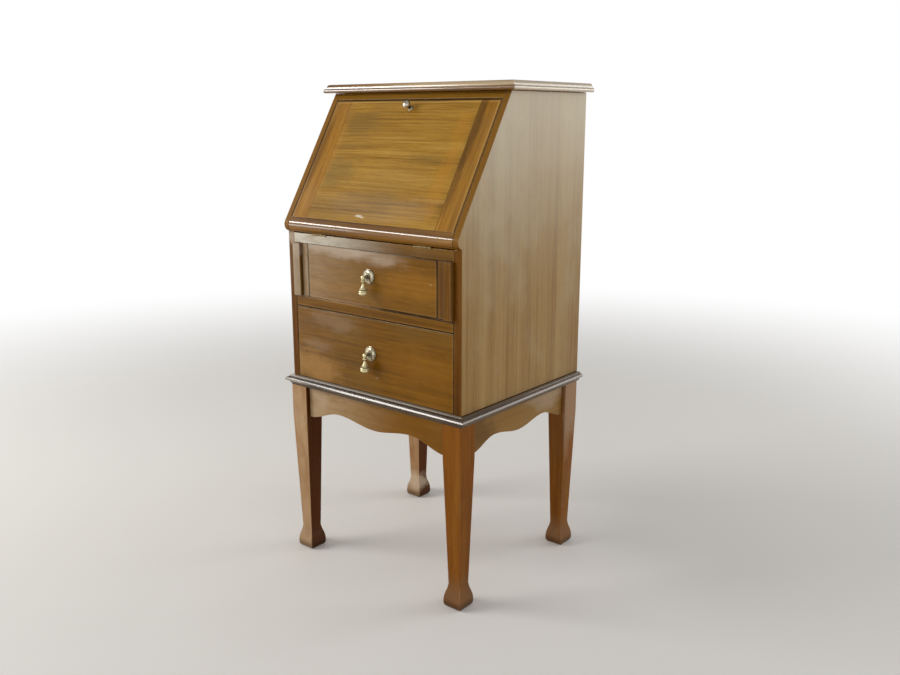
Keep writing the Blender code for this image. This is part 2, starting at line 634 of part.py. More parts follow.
# A drop pull: a domed rose with a post, a tongue and a spindle through the front to its nut, and its drop
def drop_pull(name, z, front):
    pivot = (0.0, -PULL_REACH, z)
    seat = (0.0, -SEAT_GAP, z)
    reach = PULL_REACH - SEAT_GAP
    spindle = DRAWER_FRONT_THICKNESS + NUT_THICKNESS + SPINDLE_TIP
    profile = [(0, -spindle), (SPINDLE_RADIUS, -spindle), (SPINDLE_RADIUS, 0)]
    profile += [(radius * ROSE_RADIUS, height * reach) for radius, height in ROSE_SHARES]
    rose = turned(name + "_rose", "brass", profile, seat, (0.0, -1.0, 0.0), TURNED_SIDES)
    hole_radius = SPINDLE_RADIUS + SEAT_GAP
    hole = [(hole_radius, -OVERRUN), (hole_radius, DRAWER_FRONT_THICKNESS + OVERRUN)]
    spindle_bore = turned(name + "_spindle_bore", None, hole, seat, (0.0, 1.0, 0.0), TURNED_SIDES)
    combine(front, [spindle_bore], "DIFFERENCE")
    root = TONGUE_THICKNESS - reach * ROSE_SHARES[-1][1]
    plate_x = (-TONGUE_THICKNESS / 2, TONGUE_THICKNESS / 2)
    tongue = board(name + "_tongue", None, plate_x, (-PULL_REACH, root),
                   (z - TONGUE_HALF_HEIGHT, z + TONGUE_HALF_HEIGHT))
    tip = bar_along_x(name + "_tip", None, TONGUE_HALF_HEIGHT, plate_x, pivot[1], z, PIN_SIDES)
    pin_x = DROP_BALL_RADIUS - SEAT_GAP
    pin = bar_along_x(name + "_pin", None, TONGUE_PIN_RADIUS, (-pin_x, pin_x), pivot[1], z, PIN_SIDES)
    combine(rose, [tongue, tip, pin], "UNION")

    # The drop: its ball, open behind and above for the tongue, then collar, neck, bell and grooved drum
    ball = []
    for step in range(DROP_BALL_STEPS + 1):
        angle = DROP_BALL_TURN * step / DROP_BALL_STEPS
        ball.append((DROP_BALL_RADIUS * math.sin(angle), DROP_BALL_RADIUS * math.cos(angle)))
    body = [(radius * DROP_RADIUS, -length * DROP_LENGTH) for radius, length in DROP_SHARES]
    profile = [(radius, -height) for radius, height in ball + body]
    drop = turned(name + "_drop", "brass", profile, pivot, (0.0, 0.0, -1.0), TURNED_SIDES)
    slot_half = TONGUE_THICKNESS / 2 + TONGUE_CLEARANCE
    wide = DROP_BALL_RADIUS * 2
    slot_front = pivot[1] - TONGUE_HALF_HEIGHT - TONGUE_CLEARANCE
    slot = board(name + "_slot", None, (-slot_half, slot_half), (slot_front, pivot[1] + wide),
                 (z - DROP_BALL_RADIUS * DROP_SLOT_SHARE, z + wide))
    bore_radius = TONGUE_PIN_RADIUS + TONGUE_CLEARANCE
    bore = bar_along_x(name + "_bore", None, bore_radius, (-wide, wide), pivot[1], z, PIN_SIDES)
    combine(drop, [slot, bore], "DIFFERENCE")

    inner = DRAWER_FRONT_THICKNESS + SEAT_GAP
    nut = turned(name + "_nut", "brass", [(NUT_RADIUS, 0.0), (NUT_RADIUS, NUT_THICKNESS)], (0.0, inner, z),
                 (0.0, 1.0, 0.0), NUT_SIDES)
    combine(nut, [spindle_bore], "DIFFERENCE")
    carry(axis_empty(name + "_axis", pivot), [drop])
    return [rose, nut]


def drawers():
    openings = {
        "top": (DIVIDER_INNER, (MID_RAIL_TOP, LOPER_TOP), MID_RAIL_TOP),
        "bottom": (INNER_X, (CASE_FOOT, MID_RAIL_TOP - MID_RAIL_HEIGHT), CASE_FOOT + BOTTOM_THICKNESS),
    }
    for name, (half, opening, box_foot) in openings.items():
        pieces = drawer(name + "_drawer", half, opening, box_foot)
        pieces += drop_pull(name + "_pull", (opening[0] + opening[1]) / 2 + PULL_RISE, pieces[0])
        carry(axis_empty(name + "_drawer_axis", (0.0, 0.0, opening[0])), pieces)


# The bars that are drawn out to carry the opened fall
def lopers():
    for side, sign in (("left", -1), ("right", 1)):
        ends = sorted((sign * LOPER_INNER, sign * LOPER_OUTER))
        board("loper_" + side, "mahogany", ends, (-LOPER_PROUD, LOPER_END),
              (MID_RAIL_TOP + SEAT_GAP, LOPER_TOP - SEAT_GAP), FRONT_EASE)


for old in list(bpy.data.objects):
    bpy.data.objects.remove(old, do_unlink=True)
stand()
case()
fall()
drawers()
lopers()
bpy.context.view_layer.update()
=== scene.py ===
# Fall-front bureau desk in polished mahogany: its finish, rubbed edges, mouldings and turned brass.
# Lengths are in metres. The desk stands on the floor at z = 0 with its front towards -Y.

import json
import math

import bpy
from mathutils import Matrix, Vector


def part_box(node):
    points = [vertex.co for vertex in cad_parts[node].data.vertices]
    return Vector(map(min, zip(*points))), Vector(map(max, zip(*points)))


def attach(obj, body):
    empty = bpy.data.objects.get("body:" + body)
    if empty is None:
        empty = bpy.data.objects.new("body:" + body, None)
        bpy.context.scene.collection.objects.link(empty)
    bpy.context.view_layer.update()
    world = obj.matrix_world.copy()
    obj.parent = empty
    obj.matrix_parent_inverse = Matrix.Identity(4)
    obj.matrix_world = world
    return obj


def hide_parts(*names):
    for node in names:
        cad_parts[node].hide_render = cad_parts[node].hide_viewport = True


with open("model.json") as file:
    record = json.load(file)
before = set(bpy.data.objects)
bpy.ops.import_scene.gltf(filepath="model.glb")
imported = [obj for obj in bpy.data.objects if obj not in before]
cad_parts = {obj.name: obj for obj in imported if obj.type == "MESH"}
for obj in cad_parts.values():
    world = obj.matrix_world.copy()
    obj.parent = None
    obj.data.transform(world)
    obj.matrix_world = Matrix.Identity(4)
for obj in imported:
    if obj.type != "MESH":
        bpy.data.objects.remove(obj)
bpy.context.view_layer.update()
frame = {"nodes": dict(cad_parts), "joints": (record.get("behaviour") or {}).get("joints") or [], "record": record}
print("frame loaded:", len(frame["nodes"]), "pieces")


# Camera, at the photograph's angle
cameraLook = {
    "place": (1.22447, -1.450295, 0.93962),
    "tilt": 76.345,
    "heading": 39.059,
    "lens": 36.5186,
}


def addCamera(look):
    turn = (math.radians(look["tilt"]), 0.0, math.radians(look["heading"]))
    bpy.ops.object.camera_add(location=look["place"], rotation=turn)
    camera = bpy.context.object
    camera.name = "photographAngle"
    camera.data.lens = look["lens"]
    bpy.context.scene.camera = camera


addCamera(cameraLook)


# Shader tools

# A socket that can stand in a sum: each operator adds its Math node
class Wire:
    def __init__(self, tree, socket=None):
        self.tree = tree
        self.socket = socket

    # Any node: its settings first, then the values or links of its sockets
    def node(self, kind, settings=None, sockets=None, output=0):
        made = self.tree.nodes.new("ShaderNode" + kind)
        for name, value in (settings or {}).items():
            if name == "stops":
                ramp = made.color_ramp
                while len(ramp.elements) < len(value):
                    ramp.elements.new(0.5)
                for stop, (place, colour) in zip(ramp.elements, value):
                    stop.position = place
                    stop.color = colour
            else:
                setattr(made, name, value)
        for name, value in (sockets or {}).items():
            if isinstance(value, Wire):
                self.tree.links.new(value.socket, made.inputs[name])
            else:
                made.inputs[name].default_value = value
        return Wire(self.tree, made.outputs[output] if made.outputs else None)

    # Another output of the same node
    def beside(self, output):
        return Wire(self.tree, self.socket.node.outputs[output])

    def maths(self, operation, first, second):
        return self.node("Math", {"operation": operation}, {0: first, 1: second})

    def vectors(self, operation, other=(0.0, 0.0, 0.0), output="Vector"):
        return self.node("VectorMath", {"operation": operation}, {0: self, 1: other}, output)

    def __add__(self, other):
        return self.maths("ADD", self, other)

    def __radd__(self, other):
        return self.maths("ADD", other, self)

    def __sub__(self, other):
        return self.maths("SUBTRACT", self, other)

    def __rsub__(self, other):
        return self.maths("SUBTRACT", other, self)

    def __mul__(self, other):
        return self.maths("MULTIPLY", self, other)

    def __rmul__(self, other):
        return self.maths("MULTIPLY", other, self)

    def __truediv__(self, other):
        return self.maths("DIVIDE", self, other)

    def __rtruediv__(self, other):
        return self.maths("DIVIDE", other, self)


# A colour as it is seen on a screen, 0 to 255, in the shader's own scale
def tone(red, green, blue):
    shares = [value / 255 for value in (red, green, blue)]
    light = [share / 12.92 if share <= 0.04045 else ((share + 0.055) / 1.055) ** 2.4 for share in shares]
    return (light[0], light[1], light[2], 1.0)


# 0 below the low value, 1 above the high one, smooth between
def between(value, low, high):
    sockets = {"Value": value, "From Min": low, "From Max": high}
    return value.node("MapRange", {"interpolation_type": "SMOOTHSTEP"}, sockets)


# The Mix node's sockets for colours go by number
def mixed(factor, first, second):
    return factor.node("Mix", {"data_type": "RGBA"}, {0: factor, 6: first, 7: second}, 2)


# A noise from its pattern: how often it repeats along X, Y and Z, its detail and its roughness
def noise(where, pattern):
    repeats, detail, roughness = pattern
    place = where.vectors("MULTIPLY", repeats)
    sockets = {"Vector": place, "Scale": 1.0, "Detail": detail, "Roughness": roughness}
    return where.node("TexNoise", None, sockets)


def startMaterial(name):
    material = bpy.data.materials.new(name)
    material.use_nodes = True
    material.node_tree.nodes.clear()
    return material, Wire(material.node_tree)


# Wood

# The ways a board's grain can run: the turn from the pattern's own X to the grain
slope = math.radians(58.7)
quarter = math.pi / 2
grainTurns = {
    "across": (0.0, 0.0, 0.0),
    "upright": (0.0, -quarter, 0.0),
    "deep": (0.0, 0.0, quarter),
    "upSlope": (0.0, -slope, quarter),
    "acrossSlope": (slope, 0.0, 0.0),
}
upSlope = Vector((0.0, math.cos(slope), math.sin(slope)))
squareToSlope = Vector((0.0, -math.sin(slope), math.cos(slope)))

# What all boards share, unless their own look says otherwise. A pattern is as noise takes it.
grainLook = {
    "cutFrom": (0.71, 1.37, 0.53), "noiseMean": 0.5, "sway": ((3.0, 11.0, 11.0), 2.0, 0.55),
    "streakDetail": (5.0, 0.62), "streakWeight": 1.5, "streakHeight": 0.6,
    "bandRunShare": 0.3, "bandDetail": (3.0, 0.5), "bandWeight": 1.6, "toneStops": (0.12, 0.50, 0.86),
    "fibres": ((26.0, 1000.0, 1000.0), 2.0, 0.6), "fibreWeight": 0.9, "fibreLeast": 0.15,
    "fibreHeight": 0.5, "pores": ((70.0, 1500.0, 1500.0), 1.0, 0.55), "poreLimits": (0.60, 0.72),
    "poreShare": 0.40, "poreHeight": 0.8, "poreRoughness": 0.08,
    "clouds": ((7.0, 9.0, 9.0), 3.0, 0.6), "hazeLimits": (0.42, 0.78), "cloudRoughness": 0.12,
    "rough": 0.28, "specular": 0.10, "coat": 0.0, "coatRoughness": 0.08, "relief": 0.25,
    "reliefDepth": 0.00012, "bloomSheenTone": tone(206, 192, 164),
}

# Each board's tones, how often its lines run on and repeat across, and its own finish. A fade is where it
# starts and is full in height, its raggedness, its share and its tone; on the side panels it is faded polish
# together with a painted reflection.
woodLooks = {
    "fallField": {
        "dark": tone(106, 72, 22), "middle": tone(178, 132, 48), "light": tone(204, 161, 77),
        "run": 6.0, "fineness": 330.0, "bands": 32.0, "waver": 0.004, "contrast": 0.76,
        "haze": tone(138, 112, 64), "hazeShare": 0.30, "specular": 0.14,
    },
    "fallBorder": {
        "dark": tone(96, 60, 16), "middle": tone(173, 120, 38), "light": tone(197, 146, 62),
        "run": 5.0, "fineness": 190.0, "bands": 36.0, "waver": 0.003, "contrast": 0.66,
        "haze": tone(140, 108, 60), "hazeShare": 0.40, "specular": 0.14,
    },
    # The head rail, lighter than the other case boards: painted light against the shade under the top's overhang
    "headRail": {
        "dark": tone(88, 56, 10), "middle": tone(134, 92, 23), "light": tone(164, 120, 42),
        "run": 5.0, "fineness": 190.0, "bands": 30.0, "waver": 0.003, "contrast": 0.60,
        "haze": tone(140, 108, 58), "hazeShare": 0.30, "specular": 0.14,
    },
    "drawer": {
        "dark": tone(76, 46, 2), "middle": tone(123, 80, 8), "light": tone(148, 101, 22),
        "run": 4.0, "fineness": 190.0, "bands": 11.0, "waver": 0.008, "contrast": 0.76,
        "haze": tone(116, 90, 40), "hazeShare": 0.40,
    },
    "carcass": {
        "dark": tone(76, 44, 4), "middle": tone(116, 74, 14), "light": tone(144, 98, 32),
        "run": 5.0, "fineness": 170.0, "bands": 18.0, "waver": 0.004, "contrast": 0.60,
        "haze": tone(128, 96, 50), "hazeShare": 0.30,
    },
    "bed": {
        "dark": tone(76, 46, 4), "middle": tone(114, 76, 13), "light": tone(144, 102, 32),
        "run": 5.0, "fineness": 170.0, "bands": 18.0, "waver": 0.004, "contrast": 0.70,
        "haze": tone(150, 124, 82), "hazeShare": 0.35, "specular": 0.12,
        "bloomSheenTone": tone(214, 208, 190),
    },
    "apron": {
        "dark": tone(86, 52, 6), "middle": tone(134, 88, 18), "light": tone(156, 110, 38),
        "run": 4.0, "fineness": 170.0, "bands": 12.0, "waver": 0.006, "contrast": 0.40,
        "haze": tone(134, 98, 52), "hazeShare": 0.35,
        "bloomSheenTone": tone(194, 172, 138),
    },
    "apronEnd": {
        "dark": tone(108, 72, 24), "middle": tone(146, 108, 48), "light": tone(168, 130, 72),
        "run": 4.0, "fineness": 150.0, "bands": 12.0, "waver": 0.004, "contrast": 0.40,
        "haze": tone(150, 122, 80), "hazeShare": 0.35, "rough": 0.30, "specular": 0.14,
    },
    "caseEdge": {
        "dark": tone(72, 38, 2), "middle": tone(110, 66, 6), "light": tone(134, 88, 22),
        "run": 5.0, "fineness": 150.0, "bands": 20.0, "waver": 0.004, "contrast": 0.70,
        "haze": tone(112, 80, 36), "hazeShare": 0.30, "specular": 0.08,
        "fade": (0.700, 0.735, 0.0, 0.55, tone(156, 112, 46)),
    },
    "side": {
        "dark": tone(118, 82, 38), "middle": tone(163, 128, 74), "light": tone(184, 153, 98),
        "run": 2.0, "fineness": 130.0, "bands": 17.0, "waver": 0.005, "contrast": 0.54,
        "haze": tone(171, 150, 112), "hazeShare": 0.50, "rough": 0.34, "specular": 0.18,
        # Paler towards the top: faded polish together with a painted reflection of the bright wall
        "fade": (0.54, 1.15, 0.18, 0.70, tone(221, 213, 188)),
    },
    "leg": {
        "dark": tone(84, 44, 4), "middle": tone(136, 80, 12), "light": tone(160, 104, 36),
        "run": 4.0, "fineness": 130.0, "bands": 18.0, "waver": 0.003, "contrast": 0.55,
        "haze": tone(122, 84, 40), "hazeShare": 0.35, "rough": 0.26,
        # Its dark other tone is painted shade on what looks right, and its bloom tone a painted reflection
        "fade": (0.080, 0.020, 0.02, 0.60, tone(128, 98, 70)), "paintedRightTone": tone(60, 20, 0),
        "bloomSheenTone": tone(200, 172, 136),
    },
    "moulding": {
        "dark": tone(40, 24, 6), "middle": tone(84, 58, 22), "light": tone(128, 97, 48),
        "run": 5.0, "fineness": 160.0, "bands": 20.0, "waver": 0.003, "contrast": 0.50,
        "haze": tone(124, 112, 78), "hazeShare": 0.25, "rough": 0.14, "specular": 0.40, "coat": 0.30,
        "relief": 0.06,
    },
    "nosing": {
        "dark": tone(72, 42, 2), "middle": tone(132, 86, 10), "light": tone(170, 118, 34),
        "run": 5.0, "fineness": 150.0, "bands": 20.0, "waver": 0.003, "contrast": 0.80,
        "haze": tone(140, 108, 60), "hazeShare": 0.20, "rough": 0.20, "specular": 0.12, "coat": 1.0,
        # Its pale other tone is a painted reflection on the top board's right end
        "coatRise": (0.714, 0.723), "relief": 0.08, "paintedRightTone": tone(236, 222, 194),
    },
    "topFace": {
        "dark": tone(66, 36, 4), "middle": tone(112, 70, 14), "light": tone(146, 98, 34),
        "run": 5.0, "fineness": 150.0, "bands": 16.0, "waver": 0.006, "contrast": 0.70,
        "haze": tone(126, 96, 56), "hazeShare": 0.35, "rough": 0.34, "specular": 0.12,
    },
    "inner": {
        "dark": tone(138, 104, 64), "middle": tone(176, 142, 98), "light": tone(200, 170, 126),
        "run": 3.0, "fineness": 150.0, "bands": 16.0, "waver": 0.008, "contrast": 0.80,
        "haze": tone(150, 128, 98), "hazeShare": 0.35, "rough": 0.62, "specular": 0.30,
    },
}

# The old polish: its rim, darkened with painted shade of the gaps and with dirt, with a painted highlight
# line inside it, its bloom with a painted reflection, its rubbed edges with a painted highlight on top, and
# patches on it
polishLook = {
    "facing": (0.4, 0.8), "rimWaver": 0.4, "rimFullShare": 0.4, "rimLineShares": (1.0, 1.2, 1.5, 1.9),
    "gapShadeTone": tone(22, 10, 2), "gapShadeShare": 0.92, "highlightLineTone": tone(206, 166, 104),
    "bloomSheen": ((18.0, 60.0, 60.0), 4.0, 0.65), "bloomSheenLimits": (0.32, 0.62), "bloomSheenLeast": 0.6,
    "rubbedLitTone": tone(196, 158, 104), "rubbedLitShare": 0.60, "rubbedCoat": 0.6, "rubbedLitWidth": 0.0016,
    "topLitLean": 0.35, "rubbedFibres": 0.4, "rubbedLimits": (0.50, 0.80),
    "patchGrain": ((1.6, 1.6, 1.6), 4.0, 0.65), "patchCore": 0.35,
}
woodCount = 0


# Marks how far each face looks forwards or right, and the narrow strips, rubbed and given a painted highlight,
# most on top
def markFaces(piece, width):
    marks = {}
    for name in ("rubbed", "forward", "rightward"):
        marks[name] = piece.data.attributes.new(name, "FLOAT", "FACE")
    points = piece.data.vertices
    for face in piece.data.polygons:
        longest = max((points[start].co - points[end].co).length for start, end in face.edge_keys)
        worn = polishLook["topLitLean"] + face.normal.z if face.area < longest * width else 0.0
        for name, value in (("rubbed", worn), ("forward", -face.normal.y), ("rightward", face.normal.x)):
            marks[name].data[face.index].value = max(0.0, value)


def marked(start, name):
    return start.node("Attribute", {"attribute_name": name}, None, "Fac")


# How near a point is to the rim of a board, or of several that meet, seen square to both directions
def rimDistance(coords, nodes, directions):
    points = [vertex.co for node in nodes for vertex in frame["nodes"][node].data.vertices]
    nearest = None
    for direction in directions:
        places = [point.dot(direction) for point in points]
        place = coords.vectors("DOT_PRODUCT", direction, "Value")
        for away in (place - min(places), max(places) - place):
            nearest = away if nearest is None else nearest.maths("MINIMUM", nearest, away)
    return nearest


# 1 at a place, 0 past its reach along each axis, with a ragged border
def patch(coords, place, reach, raggedness):
    scaled = coords.vectors("SUBTRACT", place).vectors("MULTIPLY", tuple(1.0 / length for length in reach))
    away = scaled.vectors("LENGTH", output="Value")
    ragged = (noise(scaled, polishLook["patchGrain"]) - grainLook["noiseMean"]) * raggedness
    return 1.0 - between(away + ragged, polishLook["patchCore"], 1.0)


# Options: bloom is its share on the front, cloudy polish with a painted reflection, and the places across
# where it ends and is full; rim is the boards and directions of a rim darkened with painted gap shade and
# dirt, its width and the share of a painted highlight line inside it; shade is the share of another tone on
# what looks right, painted shade on the legs and a painted reflection on the top board's end; patches are
# (place, reach, raggedness, share, tone)
def wood(lookName, grain, bloomSheen=None, rim=None, paintedRightShading=0.0, patches=()):
    global woodCount
    woodCount += 1
    look = {**grainLook, **polishLook, **woodLooks[lookName]}
    mean = look["noiseMean"]
    material, start = startMaterial("%sWood%02d" % (lookName, woodCount))

    # Each board is cut from its own place in the tree
    coords = start.node("TexCoord", None, None, "Object")
    place = tuple(step * woodCount for step in look["cutFrom"])
    sockets = {"Vector": coords, "Location": place, "Rotation": grainTurns[grain]}
    where = coords.node("Mapping", {"vector_type": "TEXTURE"}, sockets)

    # The lines wander a little along the board
    along = where.node("SeparateXYZ", None, {0: where})
    across, depth = along.beside("Y"), along.beside("Z")
    sway = (noise(where, look["sway"]) - mean) * look["waver"] * 2.0
    moved = where.node("CombineXYZ", None, {0: along, 1: across + sway, 2: depth})

    run, fine, broad = look["run"], look["fineness"], look["bands"]
    streaks = noise(moved, ((run, fine, fine), *look["streakDetail"]))
    bands = noise(moved, ((run * look["bandRunShare"], broad, broad), *look["bandDetail"]))
    fibres = noise(moved, look["fibres"])
    pores = between(noise(moved, look["pores"]), *look["poreLimits"])
    clouds = noise(where, look["clouds"])

    streakFigure = (streaks - mean) * look["streakWeight"] * look["contrast"]
    figure = streakFigure + (bands - mean) * look["bandWeight"] * look["contrast"] + mean
    stops = list(zip(look["toneStops"], (look["dark"], look["middle"], look["light"])))
    colour = figure.node("ValToRGB", {"stops": stops}, {0: figure})
    colour = mixed((fibres - mean) * look["fibreWeight"] + look["fibreLeast"], colour, look["dark"])
    colour = mixed(pores * look["poreShare"], colour, look["dark"])
    colour = mixed(between(clouds, *look["hazeLimits"]) * look["hazeShare"], colour, look["haze"])

    # Another tone towards one end in height; on the outer side panels, faded polish together with a painted
    # reflection, paler towards the top
    sideways = coords.node("SeparateXYZ", None, {0: coords})
    height = sideways.beside("Z")
    if "fade" in look:
        low, high, raggedness, share, fadedTone = look["fade"]
        faded = between(height + (clouds - mean) * raggedness, low, high)
        colour = mixed(faded * share, colour, fadedTone)

    # Dark rim of painted shade of the gaps together with dirt in the old polish, and a painted highlight line
    # inside it
    if rim:
        nodes, directions, width, highlightLineShare = rim
        near = rimDistance(coords, nodes, directions) + (clouds - mean) * width * look["rimWaver"]
        front = between(marked(start, "forward"), *look["facing"])
        places = [width * share for share in look["rimLineShares"]]
        line = between(near, *places[:2]) - between(near, *places[2:])
        colour = mixed(line * front * highlightLineShare, colour, look["highlightLineTone"])
        dark = 1.0 - between(near, width * look["rimFullShare"], width)
        colour = mixed(dark * front * look["gapShadeShare"], colour, look["gapShadeTone"])

    # Cloudy polish on the front, thicker to the left, with a painted reflection in it
    if bloomSheen:
        most, right, left = bloomSheen
        least = look["bloomSheenLeast"]
        leftward = between(sideways * -1.0, -right, -left)
        ragged = between(noise(where, look["bloomSheen"]), *look["bloomSheenLimits"])
        share = leftward * marked(start, "forward") * (ragged * (1 - least) + least) * most
        colour = mixed(share, colour, look["bloomSheenTone"])
    # Another tone on what looks right: painted shade on the left legs, a painted reflection on the top board's
    # right end
    if paintedRightShading:
        colour = mixed(marked(start, "rightward") * paintedRightShading, colour, look["paintedRightTone"])

    # Narrow strips paler: rubbed wear together with a painted highlight, strongest on the top edges
    worn = between(clouds + fibres * look["rubbedFibres"], *look["rubbedLimits"])
    rubbed = marked(start, "rubbed") * worn
    colour = mixed(rubbed * look["rubbedLitShare"], colour, look["rubbedLitTone"])
    for patchPlace, reach, raggedness, share, patchTone in patches:
        colour = mixed(patch(coords, patchPlace, reach, raggedness) * share, colour, patchTone)

    # The clear coat of a rounded edge can start part of the way up
    coat = look["coat"]
    if "coatRise" in look:
        coat = between(height, *look["coatRise"]) * coat
    smoothest = look["rough"] - look["cloudRoughness"] * mean
    roughness = clouds * look["cloudRoughness"] + pores * look["poreRoughness"] + smoothest
    relief = fibres * look["fibreHeight"] - pores * look["poreHeight"] + streaks * look["streakHeight"]
    sockets = {"Height": relief, "Distance": look["reliefDepth"], "Strength": look["relief"]}
    shader = {"Base Color": colour, "Roughness": roughness, "Normal": relief.node("Bump", None, sockets),
              "Specular IOR Level": look["specular"], "Coat Roughness": look["coatRoughness"],
              "Coat Weight": rubbed * look["rubbedCoat"] + coat}
    surface = start.node("BsdfPrincipled", None, shader)
    start.node("OutputMaterial", None, {"Surface": surface})
    return material


# Brass

# What all brass shares, beside its own look. A pattern is as noise takes it.
wearLook = {
    "wear": ((260.0, 260.0, 260.0), 4.0, 0.6), "wearLimits": (0.35, 0.70), "wearRoughness": 0.16,
    "specks": ((900.0, 900.0, 900.0), 2.0, 0.55), "speckLimits": (0.62, 0.72), "speckShare": 0.35,
    "speckRoughness": 0.2, "smoothing": 0.06, "relief": 0.15, "reliefDepth": 0.00005,
}
roseBrassLook = {
    "bright": tone(236, 228, 200), "dull": tone(156, 138, 96), "tarnish": tone(58, 46, 20), "rough": 0.18,
    "metallic": 0.70, "recessShadeShare": 0.88,
}
dropBrassLook = {
    "bright": tone(250, 240, 196), "dull": tone(222, 204, 142), "tarnish": tone(66, 52, 20), "rough": 0.20,
    "metallic": 0.60, "recessShadeShare": 0.80,
}
knobBrassLook = {
    "bright": tone(216, 206, 188), "dull": tone(160, 150, 128), "tarnish": tone(50, 42, 30), "rough": 0.16,
    "metallic": 0.90, "recessShadeShare": 0.90,
}
# Darker brass for the hinges and their screws, a painted shade: they sit in the shade under the nosing
hingeBrassLook = {
    "bright": tone(150, 130, 88), "dull": tone(98, 80, 50), "tarnish": tone(40, 30, 18), "rough": 0.34,
    "metallic": 0.85,
}


# A turned piece's recesses, darkened with tarnish and painted shade, are shares of a length along its axis:
# seat, axis, length, [(share, depth), ...]
def brass(name, ownLook, recesses=None):
    look = {**wearLook, **ownLook}
    material, start = startMaterial(name)
    where = start.node("TexCoord", None, None, "Object")
    wear = noise(where, look["wear"])
    specks = between(noise(where, look["specks"]), *look["speckLimits"])
    colour = mixed(between(wear, *look["wearLimits"]), look["bright"], look["dull"])
    colour = mixed(specks * look["speckShare"], colour, look["tarnish"])
    # Recesses and the rose's rim darkened: tarnish together with painted shade
    if recesses:
        seat, axis, length, stops = recesses
        along = where.vectors("SUBTRACT", seat).vectors("DOT_PRODUCT", axis, "Value") / length
        tones = [(share, (depth, depth, depth, 1.0)) for share, depth in stops]
        depth = along.node("ValToRGB", {"stops": tones}, {0: along})
        colour = mixed(depth * look["recessShadeShare"], colour, look["tarnish"])
    smoothest = look["rough"] - look["smoothing"]
    roughness = wear * look["wearRoughness"] + specks * look["speckRoughness"] + smoothest
    sockets = {"Height": wear + specks, "Distance": look["reliefDepth"], "Strength": look["relief"]}
    normal = wear.node("Bump", None, sockets)
    shader = {"Base Color": colour, "Metallic": look["metallic"], "Roughness": roughness, "Normal": normal}
    surface = start.node("BsdfPrincipled", None, shader)
    start.node("OutputMaterial", None, {"Surface": surface})
    return material


# Modelling tools

# Gaps that are merged, angles in degrees, and what small forms share
formLook = {
    "seamGap": 0.00001, "solidGap": 0.00002, "flatAngle": 1, "facing": 0.98, "roundingSegments": 3,
    "blockRoundingShare": 1 / 12, "blockSegments": 2, "barSides": 24,
}


def clearSelection():
    if bpy.context.object and bpy.context.object.mode != "OBJECT":
        bpy.ops.object.mode_set(mode="OBJECT")
    bpy.ops.object.select_all(action="DESELECT")


def takeUp(piece):
    clearSelection()
    piece.select_set(True)
    bpy.context.view_layer.objects.active = piece


# Names a new primitive, puts its place into its mesh and opens it with all of it selected
def startForm(name):
    piece = bpy.context.object
    piece.name = name
    piece.data.name = name
    bpy.ops.object.transform_apply(location=True, rotation=True, scale=True)
    bpy.ops.object.mode_set(mode="EDIT")
    bpy.ops.mesh.select_all(action="SELECT")
    return piece


# Closes the seams, turns the faces outwards and leaves edit mode
def closeForm():
    bpy.ops.mesh.select_all(action="SELECT")
    bpy.ops.mesh.remove_doubles(threshold=formLook["seamGap"])
    bpy.ops.mesh.normals_make_consistent(inside=False)
    bpy.ops.object.mode_set(mode="OBJECT")


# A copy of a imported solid, merged and with its flat faces whole
def copyOfNode(node):
    takeUp(frame["nodes"][node])
    bpy.ops.object.duplicate()
    piece = bpy.context.object
    piece.parent = None
    for key in list(piece.keys()):
        del piece[key]
    startForm(node + "_worn")
    bpy.ops.mesh.remove_doubles(threshold=formLook["solidGap"])
    bpy.ops.mesh.dissolve_limited(angle_limit=math.radians(formLook["flatAngle"]))
    bpy.ops.object.mode_set(mode="OBJECT")
    return piece


# The edges of at least that length whose faces meet at the angle or more
def sharpEdges(piece, angle, shortest):
    bpy.ops.object.mode_set(mode="EDIT")
    bpy.ops.mesh.select_mode(type="EDGE")
    bpy.ops.mesh.select_all(action="DESELECT")
    bpy.ops.mesh.edges_select_sharp(sharpness=math.radians(angle))
    bpy.ops.object.mode_set(mode="OBJECT")
    points = piece.data.vertices
    found = set()
    for edge in piece.data.edges:
        start, end = [points[index].co for index in edge.vertices]
        if edge.select and (start - end).length >= shortest:
            found.add(edge.index)
    return found


def bevelEdges(piece, chosen, amount):
    for edge in piece.data.edges:
        edge.select = edge.index in chosen
    bpy.ops.object.mode_set(mode="EDIT")
    bpy.ops.mesh.bevel(offset=amount, segments=formLook["roundingSegments"], affect="EDGES")
    bpy.ops.object.mode_set(mode="OBJECT")


# Smooth shading that leaves the flat faces flat
def shadeForm(piece, angle=40):
    takeUp(piece)
    bpy.ops.object.shade_smooth_by_angle(angle=math.radians(angle))
    bpy.ops.object.modifier_add(type="WEIGHTED_NORMAL")
    piece.modifiers[-1].keep_sharp = True
    bpy.ops.object.modifier_apply(modifier=piece.modifiers[-1].name)


def combineWith(piece, tool, operation):
    takeUp(piece)
    bpy.ops.object.modifier_add(type="BOOLEAN")
    modifier = piece.modifiers[-1]
    modifier.operation = operation
    modifier.solver = "EXACT"
    modifier.object = tool
    bpy.ops.object.modifier_apply(modifier=modifier.name)
    bpy.data.objects.remove(tool)


# Draws the selected ring along and scales it about its centre
def raiseRing(shift, scale, centre):
    bpy.ops.mesh.extrude_region_move(TRANSFORM_OT_translate={"value": shift})
    bpy.ops.transform.resize(value=scale, center_override=centre)


# One coordinate of a curve from start to end, which comes from before and goes on to after
def curved(before, start, end, after, share):
    bend = (end - before) * share + (2 * before - 5 * start + 4 * end - after) * share ** 2
    return start + (bend + (3 * start - before - 3 * end + after) * share ** 3) / 2


